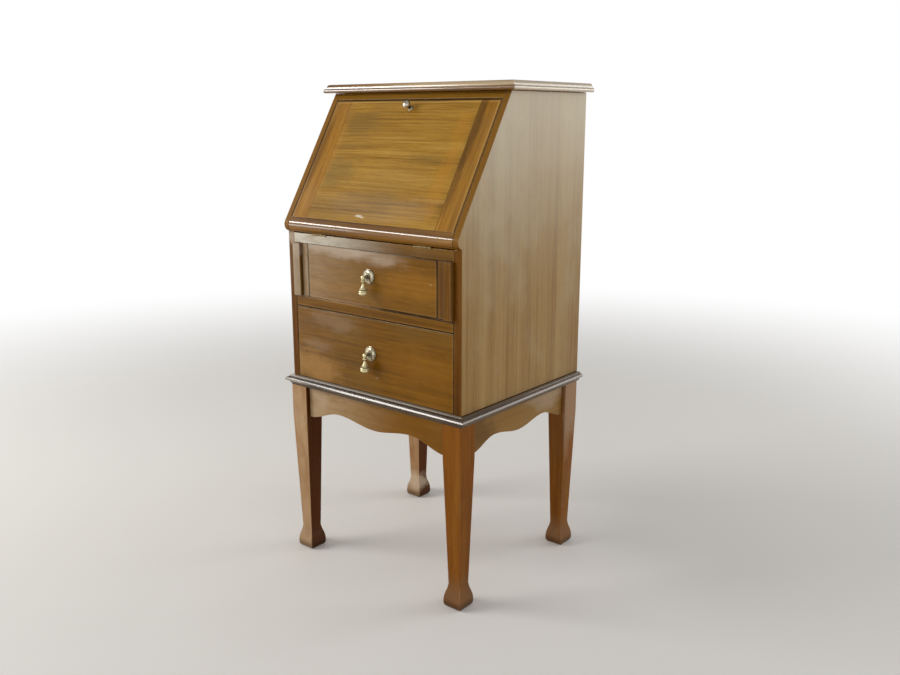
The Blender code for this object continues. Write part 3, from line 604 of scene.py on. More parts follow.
# A curve through listed points, which keeps a corner at the sharp ones
def curveThrough(points, sharp, steps=3):
    last = len(points) - 1
    curve = [points[0]]
    for index in range(last):
        start, end = points[index], points[index + 1]
        before = start if index == 0 or index in sharp else points[index - 1]
        after = end if index + 1 == last or index + 1 in sharp else points[index + 2]
        for step in range(1, steps + 1):
            curve.append(tuple(curved(*four, step / steps) for four in zip(before, start, end, after)))
    return curve


# A turned form: a disc raised ring by ring along its axis, through (radius, height) pairs
def turnForm(name, profile, seat, axis, sides):
    clearSelection()
    seat, axis = Vector(seat), Vector(axis)
    radius, height = profile[0]
    turn = axis.to_track_quat("Z", "Y").to_euler()
    bpy.ops.mesh.primitive_circle_add(vertices=sides, radius=radius, fill_type="NGON",
                                      location=seat + axis * height, rotation=turn)
    piece = startForm(name)
    for (radius, height), (nextRadius, nextHeight) in zip(profile, profile[1:]):
        if nextRadius == 0:
            bpy.ops.mesh.extrude_region_move(
                TRANSFORM_OT_translate={"value": axis * (nextHeight - height)})
            bpy.ops.mesh.merge(type="CENTER")
        else:
            share = nextRadius / radius
            raiseRing(axis * (nextHeight - height), (share, share, share), seat + axis * nextHeight)
    closeForm()
    return piece


# A copy with its own mesh, turned and set down there
def copyTo(piece, name, place, turn=(0.0, 0.0, 0.0)):
    takeUp(piece)
    bpy.ops.object.duplicate(linked=False)
    copy = bpy.context.object
    copy.name = name
    copy.data.name = name
    copy.location = place
    copy.rotation_euler = turn
    bpy.ops.object.transform_apply(location=True, rotation=True, scale=True)
    return copy


slotOf = {entry["node"]: entry["material_slot"] for entry in frame["record"]["subparts"]}
bodyOf = {node: body for body, nodes in frame["record"]["behaviour"]["bodies"].items() for node in nodes}
pinPlace = next(Vector(joint["pos_m"]) for joint in frame["joints"] if joint["name"] == "fall_hinge")


# Gives a piece its finish and the body that it moves with, and hides the imported node that it stands for
def fitPiece(piece, node, material, rubbedLitWidth=0.0):
    markFaces(piece, rubbedLitWidth)
    piece.data.materials.clear()
    piece.data.materials.append(material)
    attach(piece, bodyOf[node])
    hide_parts(node)


# Another finish for what faces one way, on a board whose edge differs from its face
def finishFaces(piece, material, direction):
    piece.data.materials.append(material)
    last = len(piece.data.materials) - 1
    for face in piece.data.polygons:
        if face.normal.dot(direction) > formLook["facing"]:
            face.material_index = last


# Legs

# The foot's shares are of its height and of how far it stands out past the ankle
legLook = {
    "ankle": 0.028, "foot": 0.0426, "footHeight": 0.048, "block": 0.068, "corner": 0.0013,
    "cornerSegments": 4, "soleReach": (0.2, 0.2, 0.020), "soleRaggedness": 0.6, "soleShare": 0.55,
    "footShares": [(1.00, 0.00), (0.80, 0.24), (0.66, 0.54), (0.51, 0.82), (0.35, 0.97), (0.19, 1.00),
                   (0.07, 0.86), (0.00, 0.52)],
}


# A tapered leg: an eased square drawn down from the waist to the ankle, then out into its foot
def makeLeg(node, look):
    low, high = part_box(node)
    width = high.x - low.x
    middle = (low + high) / 2
    clearSelection()
    bpy.ops.mesh.primitive_plane_add(size=width, location=(middle.x, middle.y, high.z))
    piece = startForm(node + "_turned")
    bpy.ops.mesh.bevel(offset=look["corner"], segments=look["cornerSegments"], affect="VERTICES")
    bpy.ops.mesh.select_all(action="SELECT")
    rings = [(high.z - look["block"], width)]
    for height, bulge in curveThrough(look["footShares"], ()):
        rings.append((height * look["footHeight"], look["ankle"] + bulge * (look["foot"] - look["ankle"])))
    height = high.z
    for nextHeight, nextWidth in rings:
        share = nextWidth / width
        raiseRing((0.0, 0.0, nextHeight - height), (share, share, 1.0), (middle.x, middle.y, nextHeight))
        height, width = nextHeight, nextWidth
    closeForm()
    shadeForm(piece)
    return piece


# Each leg's bloom with a painted reflection, its painted shade on the right, its pale places of painted
# reflection and highlight, a darker place, and bare flakes
flakeTone, paleSheenTone, soleTone = tone(232, 220, 200), tone(206, 186, 160), tone(54, 34, 18)
legMarks = {
    "leg_front_left": ((0.54, 0.2, -0.2), 0.80, (
        ((-0.2102, -0.2125, 0.3400), (0.0500, 0.020, 0.130), 1.2, 0.42, paleSheenTone),)),
    "leg_front_right": (None, 0.0, (
        ((0.2258, -0.1846, 0.3154), (0.0030, 0.0012, 0.0010), 0.8, 1.0, flakeTone),
        ((0.2128, -0.1848, 0.0610), (0.0024, 0.0012, 0.0012), 0.8, 1.0, flakeTone))),
    "leg_rear_left": ((0.45, 0.2, -0.2), 0.75, (
        ((-0.2102, 0.1700, 0.0400), (0.0600, 0.060, 0.030), 1.2, 0.60, paleSheenTone),)),
    "leg_rear_right": (None, 0.0, (
        ((0.2322, 0.1905, 0.3400), (0.0090, 0.060, 0.180), 1.2, 0.30, paleSheenTone),
        ((0.2102, 0.1685, 0.1900), (0.0400, 0.006, 0.200), 1.2, 0.22, soleTone))),
}
firstLeg = makeLeg("leg_front_left", legLook)
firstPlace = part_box("leg_front_left")[0]
legs = {node: copyTo(firstLeg, node + "_turned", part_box(node)[0] - firstPlace)
        for node in legMarks if node != "leg_front_left"}
legs["leg_front_left"] = firstLeg
for node, (bloomSheen, paintedRightShading, patches) in legMarks.items():
    low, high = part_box(node)
    under = Vector(((low.x + high.x) / 2, (low.y + high.y) / 2, 0.0))
    sole = (under, legLook["soleReach"], legLook["soleRaggedness"], legLook["soleShare"], soleTone)
    material = wood("leg", "upright", bloomSheen, None, paintedRightShading, (*patches, sole))
    fitPiece(legs[node], node, material, polishLook["rubbedLitWidth"])
print("legs made")


# Mouldings

# An edge is (share of the overhang, share of the thickness) points, upwards, with corners at the sharp ones
topLook = {
    # The end's share is of a painted reflection, paler, on the top's right end
    "overhang": 0.0185, "shadeAngle": 30, "endPaintedReflection": 0.66, "sharp": (3, 4, 6, 7),
    "edge": [(0.70, 0.00), (0.86, 0.03), (0.96, 0.11), (1.00, 0.24), (0.97, 0.37), (0.88, 0.47),
             (0.76, 0.51), (0.74, 0.60), (0.71, 0.72), (0.65, 0.84), (0.56, 0.94), (0.46, 1.00)],
}
waistLook = {
    "overhang": 0.0146, "width": 0.040, "seam": 0.00015, "spare": 0.03, "shadeAngle": 30,
    "sharp": (1, 7, 8, 9, 10, 12, 13),
    "edge": [(0.33, 0.00), (0.33, 0.11), (0.42, 0.14), (0.50, 0.24), (0.63, 0.34), (0.80, 0.40),
             (0.93, 0.46), (1.00, 0.58), (0.88, 0.73), (0.80, 0.79), (0.66, 0.80), (0.58, 0.84),
             (0.50, 0.91), (0.44, 0.92), (0.44, 1.00)],
}


# The top board: a plane raised through its moulded edge, which runs round the front and both ends
def makeTop(node, look, material):
    low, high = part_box(node)
    profile = curveThrough(look["edge"], look["sharp"])

    # Width and depth at a ring
    def reach(out):
        inward = look["overhang"] * (1 - out)
        return high.x - low.x - 2 * inward, high.y - low.y - inward

    wide, deep = reach(profile[0][0])
    clearSelection()
    bpy.ops.mesh.primitive_plane_add(size=1, location=(0.0, high.y - deep / 2, low.z))
    bpy.ops.transform.resize(value=(wide, deep, 1.0))
    piece = startForm(node + "_moulded")
    thickness = high.z - low.z
    for (out, height), (nextOut, nextHeight) in zip(profile, profile[1:]):
        nextWide, nextDeep = reach(nextOut)
        raiseRing((0.0, 0.0, (nextHeight - height) * thickness), (nextWide / wide, nextDeep / deep, 1.0),
                  (0.0, high.y, low.z + nextHeight * thickness))
        wide, deep = nextWide, nextDeep
    closeForm()
    shadeForm(piece, look["shadeAngle"])
    fitPiece(piece, node, material)
    finishFaces(piece, wood("topFace", "across"), Vector((0.0, 0.0, 1.0)))


# A moulded run beside the case: its section is drawn out edge by edge, then its ends are cut
def makeWaist(node, look, outward, line, cuts, material):
    low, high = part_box(node)
    thickness = high.z - low.z
    outward = Vector(outward)
    run = Vector((abs(outward.y), abs(outward.x), 0.0))
    profile = [(out * look["overhang"], low.z + height * thickness)
               for out, height in curveThrough(look["edge"], look["sharp"])]
    out, height = profile[0]
    breadth = out + look["width"]
    length = (high - low).dot(run) + 2 * look["spare"]
    middle = run * (low + high).dot(run) / 2 + outward * (line + out - breadth / 2)
    clearSelection()
    bpy.ops.mesh.primitive_plane_add(size=1, location=(middle.x, middle.y, height))
    size = run * length + Vector((abs(outward.x), abs(outward.y), 0.0)) * breadth
    bpy.ops.transform.resize(value=(size.x, size.y, 1.0))
    piece = startForm(node + "_moulded")
    bpy.ops.mesh.select_mode(type="EDGE")
    bpy.ops.mesh.select_all(action="DESELECT")
    bpy.ops.object.mode_set(mode="OBJECT")
    front = line + out
    for edge in piece.data.edges:
        ends = [piece.data.vertices[index].co.dot(outward) for index in edge.vertices]
        edge.select = all(abs(end - front) < look["seam"] for end in ends)
    bpy.ops.object.mode_set(mode="EDIT")
    profile += [(out - breadth, profile[-1][1]), (out - breadth, height)]
    for (out, height), (nextOut, nextHeight) in zip(profile, profile[1:]):
        shift = outward * (nextOut - out) + Vector((0.0, 0.0, nextHeight - height))
        bpy.ops.mesh.extrude_region_move(TRANSFORM_OT_translate={"value": shift})
    for point, normal in cuts:
        bpy.ops.mesh.select_all(action="SELECT")
        bpy.ops.mesh.bisect(plane_co=point, plane_no=normal, use_fill=True, clear_outer=True)
    closeForm()
    shadeForm(piece, look["shadeAngle"])
    fitPiece(piece, node, material)


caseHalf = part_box("side_right")[1].x
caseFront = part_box("mid_rail")[0].y
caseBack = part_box("side_right")[1].y
# A painted highlight along the upper roll of the top's front edge
topHighlightPatches = (((0.1300, -0.0600, 0.9985), (0.300, 0.020, 0.0075), 0.8, 0.60, tone(222, 200, 160)),)
topWood = wood("nosing", "across", paintedRightShading=topLook["endPaintedReflection"], patches=topHighlightPatches)
makeTop("top_board", topLook, topWood)
seam = waistLook["seam"]
frontCuts = [((side * caseHalf, caseFront - seam, 0.0), (side, 1.0, 0.0)) for side in (-1, 1)]
# On the front run: a painted highlight line on the upper bead and at its left end, and painted shade in the groove
# and under the moulding
grooveShadeTone, beadHighlightTone = tone(34, 20, 8), tone(214, 204, 190)
waistPatches = (((-0.1000, -0.1950, 0.3976), (0.600, 0.030, 0.0016), 0.5, 0.75, beadHighlightTone),
                ((0.0000, -0.2000, 0.3950), (1.200, 0.050, 0.0020), 0.3, 0.75, grooveShadeTone),
                ((0.0000, -0.2000, 0.3808), (1.200, 0.050, 0.0046), 0.3, 0.55, grooveShadeTone),
                ((-0.2150, -0.2050, 0.3885), (0.050, 0.020, 0.0050), 0.6, 0.40, beadHighlightTone))
waistWood = wood("moulding", "across", patches=waistPatches)
makeWaist("waist_front", waistLook, (0.0, -1.0, 0.0), -caseFront, frontCuts, waistWood)
for name, side in (("waist_left", -1), ("waist_right", 1)):
    sideCuts = [((side * caseHalf, caseFront + seam, 0.0), (-side, -1.0, 0.0)),
                ((0.0, caseBack, 0.0), (0.0, 1.0, 0.0))]
    makeWaist(name, waistLook, (side, 0.0, 0.0), caseHalf, sideCuts, wood("moulding", "deep"))
print("mouldings made")


# Boards

# What a rim of painted gap shade and dirt is measured along, the boards that it runs round together, and
# its width and the share of its painted highlight line
rimDirections = {"front": (Vector((1.0, 0.0, 0.0)), Vector((0.0, 0.0, 1.0))),
                 "fall": (Vector((1.0, 0.0, 0.0)), upSlope), "head": (upSlope,)}
rimBoards = {"fall": ("fall_stile_left", "fall_stile_right", "fall_top_rail", "fall_nosing")}
rimLooks = {"front": (0.0026, 0.12), "fall": (0.0042, 0.42), "head": (0.0009, 0.75)}

# Look, grain, rounding, bloom with a painted reflection, and rim of painted gap shade of each board, which
# keeps the imported solid's shape
boardLooks = {
    "side_left": ("caseEdge", "upright", 0.0009, None, None),
    "side_right": ("caseEdge", "upright", 0.0009, None, None),
    "writing_bed": ("bed", "across", 0.0006, (0.90, 0.11, -0.20), None),
    "mid_rail": ("drawer", "across", 0.0004, None, "front"),
    "divider_left": ("carcass", "upright", 0.0004, (0.35, 0.0, -0.2), "front"),
    "divider_right": ("carcass", "upright", 0.0004, None, "front"),
    "loper_left": ("carcass", "upright", 0.0006, (0.40, 0.0, -0.2), "front"),
    "loper_right": ("carcass", "upright", 0.0006, None, "front"),
    "head_rail": ("headRail", "acrossSlope", 0.0004, None, "head"),
    "fall_panel": ("fallField", "acrossSlope", 0.0001, None, "fall"),
    "fall_top_rail": ("fallField", "acrossSlope", 0.0001, None, "fall"),
    "fall_stile_left": ("fallBorder", "upSlope", 0.0001, None, "fall"),
    "fall_stile_right": ("fallBorder", "upSlope", 0.0001, None, "fall"),
    "fall_nosing": ("nosing", "across", 0.0001, None, None),
    "top_drawer_front": ("drawer", "across", 0.0004, (0.27, 0.06, -0.22), "front"),
    "bottom_drawer_front": ("drawer", "across", 0.0004, (0.06, 0.06, -0.22), "front"),
    "waist_rear": ("carcass", "across", 0.0006, None, None),
    "apron_front": ("apron", "across", 0.0008, (0.60, 0.10, -0.19), None),
    "apron_rear": ("apron", "across", 0.0008, None, None),
    "apron_left": ("apronEnd", "deep", 0.0008, None, None),
    "apron_right": ("apronEnd", "deep", 0.0008, None, None),
}

# Stains, bare flakes and scratches, pale cloudy places of painted reflection, and painted highlight lines
# along edges: place, reach, raggedness, share and tone
olive, warm, brown = tone(98, 84, 48), tone(206, 138, 40), tone(92, 60, 20)
umber, paleSheen, highlightLineTone = tone(72, 44, 14), tone(196, 178, 158), tone(178, 140, 98)
boardPatches = {
    "fall_panel": (
        ((-0.1269, -0.0783, 0.9294), (0.080, 0.036, 0.036), 1.4, 0.26, olive),
        ((-0.1457, -0.1391, 0.8294), (0.090, 0.044, 0.044), 1.4, 0.36, olive),
        ((0.0006, -0.1679, 0.7822), (0.140, 0.018, 0.018), 1.4, 0.12, olive),
        ((0.0975, -0.1212, 0.8589), (0.090, 0.014, 0.014), 1.4, 0.26, olive),
        ((-0.1700, -0.1080, 0.8805), (0.024, 0.110, 0.110), 1.6, 0.22, warm),
        ((0.1461, -0.0857, 0.9173), (0.024, 0.090, 0.090), 1.6, 0.22, warm),
        ((0.1416, -0.1500, 0.8100), (0.024, 0.090, 0.090), 1.6, 0.26, warm),
        ((-0.1500, -0.1800, 0.7600), (0.110, 0.050, 0.050), 1.4, 0.16, olive),
        ((0.0900, -0.1790, 0.7620), (0.080, 0.040, 0.040), 1.4, 0.18, tone(214, 168, 96)),
        ((0.0100, -0.1760, 0.7690), (0.200, 0.034, 0.034), 1.6, 0.12, paleSheen),
        ((-0.0288, -0.1868, 0.7511), (0.0120, 0.0034, 0.0034), 1.2, 0.90, flakeTone),
        ((-0.0188, -0.1880, 0.7490), (0.0070, 0.0020, 0.0020), 1.2, 0.80, flakeTone)),
    "fall_stile_right": (
        ((0.1740, -0.0824, 0.9228), (0.0200, 0.110, 0.110), 1.0, 0.62, umber),
        ((0.1730, -0.1400, 0.8280), (0.0170, 0.090, 0.090), 1.2, 0.46, umber)),
    "fall_stile_left": (
        ((-0.2050, -0.1100, 0.8780), (0.0160, 0.120, 0.120), 1.2, 0.50, brown),
        ((-0.1850, -0.1676, 0.7826), (0.0300, 0.040, 0.040), 1.4, 0.05, paleSheen)),
    # The top drawer: a painted highlight line along its bottom edge and a painted reflection along its top
    "top_drawer_front": (
        ((-0.1000, -0.1908, 0.5757), (0.160, 0.020, 0.0036), 0.5, 0.70, highlightLineTone),
        ((-0.0900, -0.1908, 0.6830), (0.150, 0.030, 0.024), 1.4, 0.60, paleSheen),
        ((0.0150, -0.1908, 0.6760), (0.110, 0.030, 0.024), 1.6, 0.30, paleSheen),
        ((0.0400, -0.1908, 0.6700), (0.040, 0.012, 0.012), 1.6, 0.28, paleSheen),
        ((0.1204, -0.1908, 0.6300), (0.100, 0.030, 0.034), 1.6, 0.16, warm),
        ((0.1574, -0.1908, 0.6378), (0.0030, 0.0030, 0.0010), 0.8, 0.45, flakeTone)),
    "bottom_drawer_front": (
        ((-0.0991, -0.1908, 0.5300), (0.090, 0.030, 0.026), 1.6, 0.13, paleSheen),
        ((-0.1650, -0.1908, 0.4250), (0.110, 0.040, 0.045), 1.6, 0.46, tone(188, 142, 83)),
        ((-0.1519, -0.1908, 0.4751), (0.060, 0.030, 0.016), 1.6, 0.12, paleSheen),
        ((0.1300, -0.1908, 0.4500), (0.140, 0.040, 0.080), 1.6, 0.10, warm),
        ((0.0161, -0.1908, 0.4344), (0.0060, 0.0040, 0.0026), 1.4, 0.28, paleSheen),
        ((-0.0200, -0.1908, 0.3990), (0.600, 0.020, 0.0040), 0.3, 0.62, tone(116, 82, 40))),
    # The mid rail: a painted highlight line along its top edge
    "mid_rail": (
        ((-0.1000, -0.1908, 0.5750), (0.160, 0.020, 0.0032), 0.5, 0.70, highlightLineTone),),
    "apron_front": (
        ((-0.1573, -0.1908, 0.3600), (0.040, 0.040, 0.040), 1.4, 0.16, paleSheen),),
    "apron_right": (
        ((0.2200, -0.1500, 0.3500), (0.050, 0.100, 0.080), 1.4, 0.60, brown),
        ((0.2200, 0.1300, 0.3750), (0.050, 0.110, 0.050), 1.4, 0.34, paleSheen)),
    # Painted light at the left end of the bed, on the side and the loper
    "side_left": (
        ((-0.2212, -0.1908, 0.6950), (0.020, 0.020, 0.018), 1.2, 0.60, paleSheen),),
    "loper_left": (
        ((-0.1985, -0.1978, 0.6720), (0.020, 0.020, 0.022), 1.4, 0.34, paleSheen),),
}

# The edges that are rounded: how long they are at least, and the least angle between their faces, in
# degrees, which is wider once the fall's outer edges are round
edgeLook = {
    "shortest": 0.012, "angle": 30, "angleAfterRounding": 60, "fallRounding": 0.0008,
    "innerRounding": 0.0004,
}
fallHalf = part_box("fall_stile_right")[1].x

for node, (look, grain, rounding, bloomSheen, rimName) in boardLooks.items():
    piece = copyOfNode(node)
    chosen = sharpEdges(piece, edgeLook["angle"], edgeLook["shortest"])
    if node.startswith("fall_stile"):
        points, edges = piece.data.vertices, piece.data.edges
        outer = set()
        for index in chosen:
            if all(abs(points[end].co.x) > fallHalf - rounding for end in edges[index].vertices):
                outer.add(index)
        bevelEdges(piece, outer, edgeLook["fallRounding"])
        chosen = sharpEdges(piece, edgeLook["angleAfterRounding"], edgeLook["shortest"])
    bevelEdges(piece, chosen, rounding)
    shadeForm(piece)
    rim = None
    if rimName:
        rim = (rimBoards.get(rimName, (node,)), rimDirections[rimName], *rimLooks[rimName])
    material = wood(look, grain, bloomSheen, rim, 0.0, boardPatches.get(node, ()))
    fitPiece(piece, node, material, 0.0 if node == "fall_nosing" else polishLook["rubbedLitWidth"])
    if node.startswith("side"):
        outward = Vector((1.0 if node == "side_right" else -1.0, 0.0, 0.0))
        finishFaces(piece, wood("side", grain), outward)
        finishFaces(piece, wood("carcass", grain), -outward)
print("boards finished:", len(boardLooks))


# Inner boards, unpolished, which need nothing but rounded edges and their finish
def innerGrain(node):
    if node.startswith(("back_panel", "pigeonhole_divider")):
        return "upright"
    return "deep" if "_side_" in node else "across"


for node, slot in slotOf.items():
    if slot == "inner_wood":
        piece = copyOfNode(node)
        chosen = sharpEdges(piece, edgeLook["angle"], edgeLook["shortest"])
        bevelEdges(piece, chosen, edgeLook["innerRounding"])
        shadeForm(piece)
        fitPiece(piece, node, wood("inner", innerGrain(node)))
print("inner boards finished")


# Turned brass

# A turned outline's points are shares of its radius and its length. Its recesses are as brass takes them.
pullLook = {
    "sides": 48, "seatGap": 0.0003, "roseRadius": 0.0148, "spindleRadius": 0.002, "spindleLength": 0.022,
    "roseSharp": (1, 2, 3),
    "roseRecess": [(0.00, 0.6), (0.05, 0.3), (0.085, 1.0), (0.105, 0.3), (0.21, 0.0), (0.28, 0.8),
                   (0.36, 1.0), (0.55, 0.5)],
    "rose": [(1.00, 0.000), (1.00, 0.060), (0.93, 0.095), (0.86, 0.095), (0.80, 0.150), (0.66, 0.220),
             (0.48, 0.270), (0.32, 0.300), (0.23, 0.350), (0.20, 0.480), (0.20, 0.640), (0.00, 0.650)],
    "tongueHalf": (0.0010, 0.0017), "tongueRoot": 0.002, "clearance": 0.0003,
    "pinRadius": 0.0010, "pinHalf": 0.0042, "boreRadius": 0.0013, "slotHalf": 0.0013, "slotDrop": 0.0031,
    "ballRadius": 0.0045, "ballTurn": 145, "ballSteps": 12, "dropRadius": 0.00975, "dropLength": 0.0365,
    "dropRecess": [(0.00, 0.0), (0.10, 0.1), (0.150, 1.0), (0.185, 0.0), (0.215, 0.0), (0.255, 1.0),
                   (0.34, 0.3), (0.42, 0.0), (0.60, 0.0), (0.655, 1.0), (0.69, 0.1), (0.74, 0.0),
                   (0.780, 0.5), (0.82, 0.0), (0.850, 0.0), (0.885, 0.5), (0.92, 0.1), (1.00, 0.4)],
    "dropSharp": (1, 5, 10, 11, 12),
    "drop": [(0.290, 0.140), (0.300, 0.150), (0.470, 0.170), (0.500, 0.195), (0.470, 0.225),
             (0.290, 0.250), (0.245, 0.310), (0.300, 0.390), (0.430, 0.490), (0.640, 0.570),
             (0.800, 0.615), (0.800, 0.640), (0.700, 0.665), (0.920, 0.690), (1.000, 0.730),
             (0.940, 0.780), (1.000, 0.830), (0.940, 0.885), (0.740, 0.930), (0.400, 0.985),
             (0.000, 1.000)],
}


def smallBlock(name, middle, size):
    clearSelection()
    bpy.ops.mesh.primitive_cube_add(size=1, location=middle)
    bpy.ops.transform.resize(value=size)
    piece = startForm(name)
    rounding = min(size) * formLook["blockRoundingShare"]
    bpy.ops.mesh.bevel(offset=rounding, segments=formLook["blockSegments"], affect="EDGES")
    closeForm()
    return piece


def barAcross(name, middle, radius, half):
    start = middle - Vector((half, 0.0, 0.0))
    profile = [(radius, 0.0), (radius, 2 * half)]
    return turnForm(name, profile, start, (1.0, 0.0, 0.0), formLook["barSides"])


# A drop pull: the rose with its spindle, post, tongue and pin, and the drop that hangs on the pin
def makePull(name, look):
    pivot = pullPivots[name]
    seat = Vector((0.0, caseFront - look["seatGap"], pivot.z))
    reach = seat.y - pivot.y
    thin = look["spindleRadius"]
    profile = [(thin, -look["spindleLength"]), (thin, 0.0)]
    profile += [(radius * look["roseRadius"], height * reach)
                for radius, height in curveThrough(look["rose"], look["roseSharp"])]
    rose = turnForm(name + "_rose_turned", profile, seat, (0.0, -1.0, 0.0), look["sides"])
    half, tall = look["tongueHalf"]
    tongueEnd = reach * (1 - look["rose"][-1][1]) + look["tongueRoot"]
    tongueMiddle = pivot + Vector((0.0, (tongueEnd - tall) / 2, 0.0))
    tongue = smallBlock(name + "_tongue", tongueMiddle, (2 * half, tongueEnd + tall, 2 * tall))
    combineWith(rose, tongue, "UNION")
    combineWith(rose, barAcross(name + "_pin", pivot, look["pinRadius"], look["pinHalf"]), "UNION")
    shadeForm(rose)

    profile = []
    for step in range(look["ballSteps"] + 1):
        angle = math.radians(look["ballTurn"]) * step / look["ballSteps"]
        profile.append((look["ballRadius"] * math.sin(angle), -look["ballRadius"] * math.cos(angle)))
    profile = profile[1:]
    profile += [(radius * look["dropRadius"], length * look["dropLength"])
                for radius, length in curveThrough(look["drop"], look["dropSharp"])]
    drop = turnForm(name + "_drop_turned", profile, pivot, (0.0, 0.0, -1.0), look["sides"])
    ball = look["ballRadius"]
    front = tall + look["clearance"]
    slotMiddle = pivot + Vector((0.0, ball - front / 2, ball - look["slotDrop"] / 2))
    slotSize = (2 * look["slotHalf"], 2 * ball + front, 2 * ball + look["slotDrop"])
    slot = smallBlock(name + "_slot", slotMiddle, slotSize)
    combineWith(drop, slot, "DIFFERENCE")
    combineWith(drop, barAcross(name + "_bore", pivot, look["boreRadius"], 2 * ball), "DIFFERENCE")
    shadeForm(drop)
    return rose, drop


# Finishes the rose and the drop of one pull
def fitPull(name, look, rose, drop):
    pivot = pullPivots[name]
    seat = Vector((0.0, caseFront - look["seatGap"], pivot.z))
    roseRecess = (seat, (0.0, -1.0, 0.0), seat.y - pivot.y, look["roseRecess"])
    fitPiece(rose, name + "_rose", brass(name + "RoseBrass", roseBrassLook, roseRecess))
    dropRecess = (pivot, (0.0, 0.0, -1.0), look["dropLength"], look["dropRecess"])
    fitPiece(drop, name + "_drop", brass(name + "DropBrass", dropBrassLook, dropRecess))


knobLook = {
    "fromTop": 0.020, "height": 0.021, "radius": 0.0080, "seatGap": 0.0003, "fallThickness": 0.0197,
    "screwRadius": 0.0018, "screwLength": 0.012, "sharp": (1, 7),
    "recess": [(0.00, 0.2), (0.10, 0.4), (0.18, 1.0), (0.42, 1.0), (0.54, 0.3), (0.62, 0.0), (1.00, 0.0)],
    "knob": [(0.72, 0.00), (0.74, 0.06), (0.60, 0.12), (0.42, 0.16), (0.36, 0.28), (0.40, 0.44),
             (0.60, 0.54), (0.92, 0.60), (1.00, 0.68), (0.96, 0.78), (0.78, 0.90), (0.42, 0.98),
             (0.00, 1.00)],
}


def makeKnob(look):
    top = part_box("fall_top_rail")[1]
    thickness = look["fallThickness"]
    length = (top.z - pinPlace.z - thickness * squareToSlope.z) / upSlope.z
    away = thickness + look["seatGap"]
    seat = pinPlace + upSlope * (length - look["fromTop"]) + squareToSlope * away
    thin = look["screwRadius"]
    profile = [(thin, -look["screwLength"]), (thin, 0.0)]
    profile += [(radius * look["radius"], height * look["height"])
                for radius, height in curveThrough(look["knob"], look["sharp"])]
    knob = turnForm("fall_knob_turned", profile, seat, squareToSlope, pullLook["sides"])
    shadeForm(knob)
    recess = (seat, squareToSlope, look["height"], look["recess"])
    fitPiece(knob, "fall_knob", brass("knobBrass", knobBrassLook, recess))


# A countersunk screw for the hinge leaves, slotted, standing upright with its leaf's face at the origin
def makeScrew(look):
    head, thread = look["headRadius"], look["threadRadius"]
    profile = [(thread, -look["length"]), (thread, -look["sink"])]
    profile += [(across * head, up * look["rise"]) for across, up in look["headShares"]]
    screw = turnForm("hinge_screw", profile, (0.0, 0.0, 0.0), (0.0, 0.0, 1.0), look["sides"])
    slotSize = (look["slotReach"] * head, look["slotWidth"], 2 * look["slotDepth"])
    slot = smallBlock("hinge_screw_slot", (0.0, 0.0, 0.0), slotSize)
    combineWith(screw, slot, "DIFFERENCE")
    shadeForm(screw)
    return screw


pullPivots = {joint["name"][:-len("_swing")]: Vector(joint["pos_m"]) for joint in frame["joints"]
              if joint["name"].endswith("_swing")}
makeKnob(knobLook)
pullForms = makePull("top_pull", pullLook)
shift = pullPivots["bottom_pull"] - pullPivots["top_pull"]
pullCopies = [copyTo(form, form.name.replace("top", "bottom"), shift) for form in pullForms]
fitPull("top_pull", pullLook, *pullForms)
fitPull("bottom_pull", pullLook, *pullCopies)

screwLook = {
    "headRadius": 0.0027, "threadRadius": 0.0012, "length": 0.0090, "sink": 0.0018, "rise": 0.0003,
    "sides": 24, "headShares": ((1.0, 0.0), (0.9, 0.7), (0.4, 1.0), (0.0, 1.0)),
    "slotReach": 3.0, "slotWidth": 0.0007, "slotDepth": 0.0006,
    "spacing": 0.0140, "fromPin": 0.0088, "turns": (35, 80, -20),
}
screwCount = 0
firstScrew = makeScrew(screwLook)
screwMaterial = brass("screwBrass", hingeBrassLook)
for node in [name for name in slotOf if name.startswith("hinge_leaf")]:
    low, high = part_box(node)
    onFall = "fall" in node
    lean = slope + math.pi if onFall else 0.0
    way = upSlope if onFall else Vector((0.0, 1.0, 0.0))
    for step, turn in zip((-1, 0, 1), screwLook["turns"]):
        screwCount += 1
        place = pinPlace + way * screwLook["fromPin"]
        place.x = (low.x + high.x) / 2 + step * screwLook["spacing"]
        name = "hinge_screw_%02d" % screwCount
        turned = copyTo(firstScrew, name, (0.0, 0.0, 0.0), (0.0, 0.0, math.radians(turn)))
        screw = copyTo(turned, name + "_set", place, (lean, 0.0, 0.0))
        bpy.data.objects.remove(turned)
        screw.data.materials.clear()
        screw.data.materials.append(screwMaterial)
        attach(screw, bodyOf[node])
bpy.data.objects.remove(firstScrew)
for node, slot in slotOf.items():
    if slot == "brass" and not frame["nodes"][node].hide_render:
        frame["nodes"][node].data.materials.clear()
        frame["nodes"][node].data.materials.append(brass(node + "Brass", hingeBrassLook))
print("brass made")


# Studio

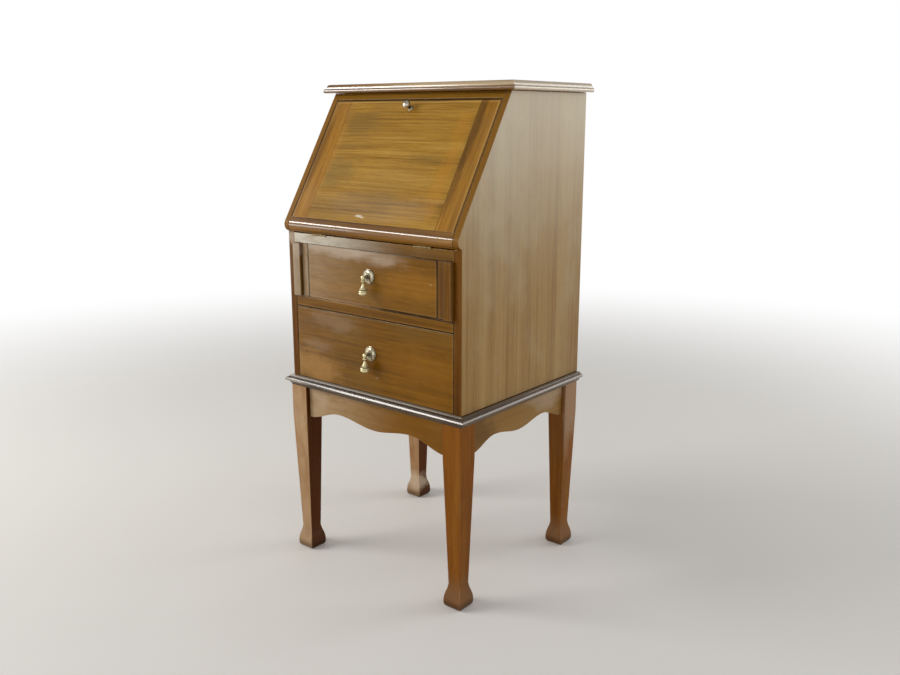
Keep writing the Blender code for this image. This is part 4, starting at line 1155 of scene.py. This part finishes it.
# The floor fades to white between two distances. The sky dims overhead, and lights less than it shows.
studioLook = {
    "floorRadius": 9.0, "floorSides": 128, "floorDrop": 0.0005, "floorRough": 0.75,
    "floorTone": tone(252, 249, 244), "gritTone": tone(236, 231, 222), "gritShare": 0.06,
    "grit": ((40.0, 40.0, 40.0), 3.0, 0.55), "skyTone": (1.0, 1.0, 1.0, 1.0), "fill": 0.72,
    "fadeStart": 1.3, "fadeEnd": 3.4, "ceilingStart": 0.25, "ceilingEnd": 0.60, "ceilingShade": 0.55,
}
windowTone = (1.0, 0.98, 0.95)
lampLooks = {
    "windowLight": {"place": (-2.25, -2.1, 2.0), "size": (1.7, 0.45), "power": 44.0,
                    "colour": windowTone},
    "lowWindowLight": {"place": (-2.6, -2.0, 0.5), "size": (1.1, 0.8), "power": 12.0,
                       "colour": windowTone},
    "backWallLight": {"place": (2.3, 2.7, 1.3), "size": (1.8, 1.6), "power": 30.0,
                      "colour": (0.97, 0.98, 1.0)},
}
lampAim = Vector((0.0, 0.0, 0.60))


def addLamp(name, look):
    place = Vector(look["place"])
    turn = (lampAim - place).to_track_quat("-Z", "Y").to_euler()
    bpy.ops.object.light_add(type="AREA", location=place, rotation=turn)
    lamp = bpy.context.object
    lamp.name = name
    lamp.data.shape = "RECTANGLE"
    lamp.data.size, lamp.data.size_y = look["size"]
    lamp.data.energy = look["power"]
    lamp.data.color = look["colour"]


# 1 for what the camera sees, straight, mirrored or through a clear thing
def seenRay(start):
    path = start.node("LightPath", None, None, "Is Camera Ray")
    seen = path
    for kind in ("Is Glossy Ray", "Is Transmission Ray"):
        seen = path.maths("MAXIMUM", seen, path.beside(kind))
    return seen


def addFloor(look):
    clearSelection()
    bpy.ops.mesh.primitive_circle_add(vertices=look["floorSides"], radius=look["floorRadius"],
                                      fill_type="NGON", location=(0.0, 0.0, -look["floorDrop"]))
    floor = startForm("floor")
    bpy.ops.mesh.inset(thickness=look["floorRadius"] - look["fadeEnd"])
    bpy.ops.object.mode_set(mode="OBJECT")
    material, start = startMaterial("paleFloor")
    coords = start.node("TexCoord", None, None, "Object")
    fade = between(coords.vectors("LENGTH", output="Value"), look["fadeStart"], look["fadeEnd"])
    seen = seenRay(start)
    colour = mixed(noise(coords, look["grit"]) * look["gritShare"], look["floorTone"], look["gritTone"])
    matt = start.node("BsdfPrincipled", None, {"Base Color": colour, "Roughness": look["floorRough"]})
    white = start.node("Emission", None, {"Color": look["skyTone"]})
    surface = start.node("MixShader", None, {0: fade * seen, 1: matt, 2: white})
    start.node("OutputMaterial", None, {"Surface": surface})
    floor.data.materials.append(material)


def addSky(look):
    world = bpy.data.worlds.new("studio")
    world.use_nodes = True
    world.node_tree.nodes.clear()
    start = Wire(world.node_tree)
    strength = seenRay(start) * (1.0 - look["fill"]) + look["fill"]
    direction = start.node("TexCoord", None, None, "Object")
    upward = direction.vectors("DOT_PRODUCT", (0.0, 0.0, 1.0), "Value")
    ceiling = 1.0 - between(upward, look["ceilingStart"], look["ceilingEnd"]) * look["ceilingShade"]
    sky = start.node("Background", None, {"Color": look["skyTone"], "Strength": strength * ceiling})
    start.node("OutputWorld", None, {"Surface": sky})
    bpy.context.scene.world = world


for name, look in lampLooks.items():
    addLamp(name, look)
addFloor(studioLook)
addSky(studioLook)
bpy.context.scene.view_settings.view_transform = "Standard"
print("studio lit")
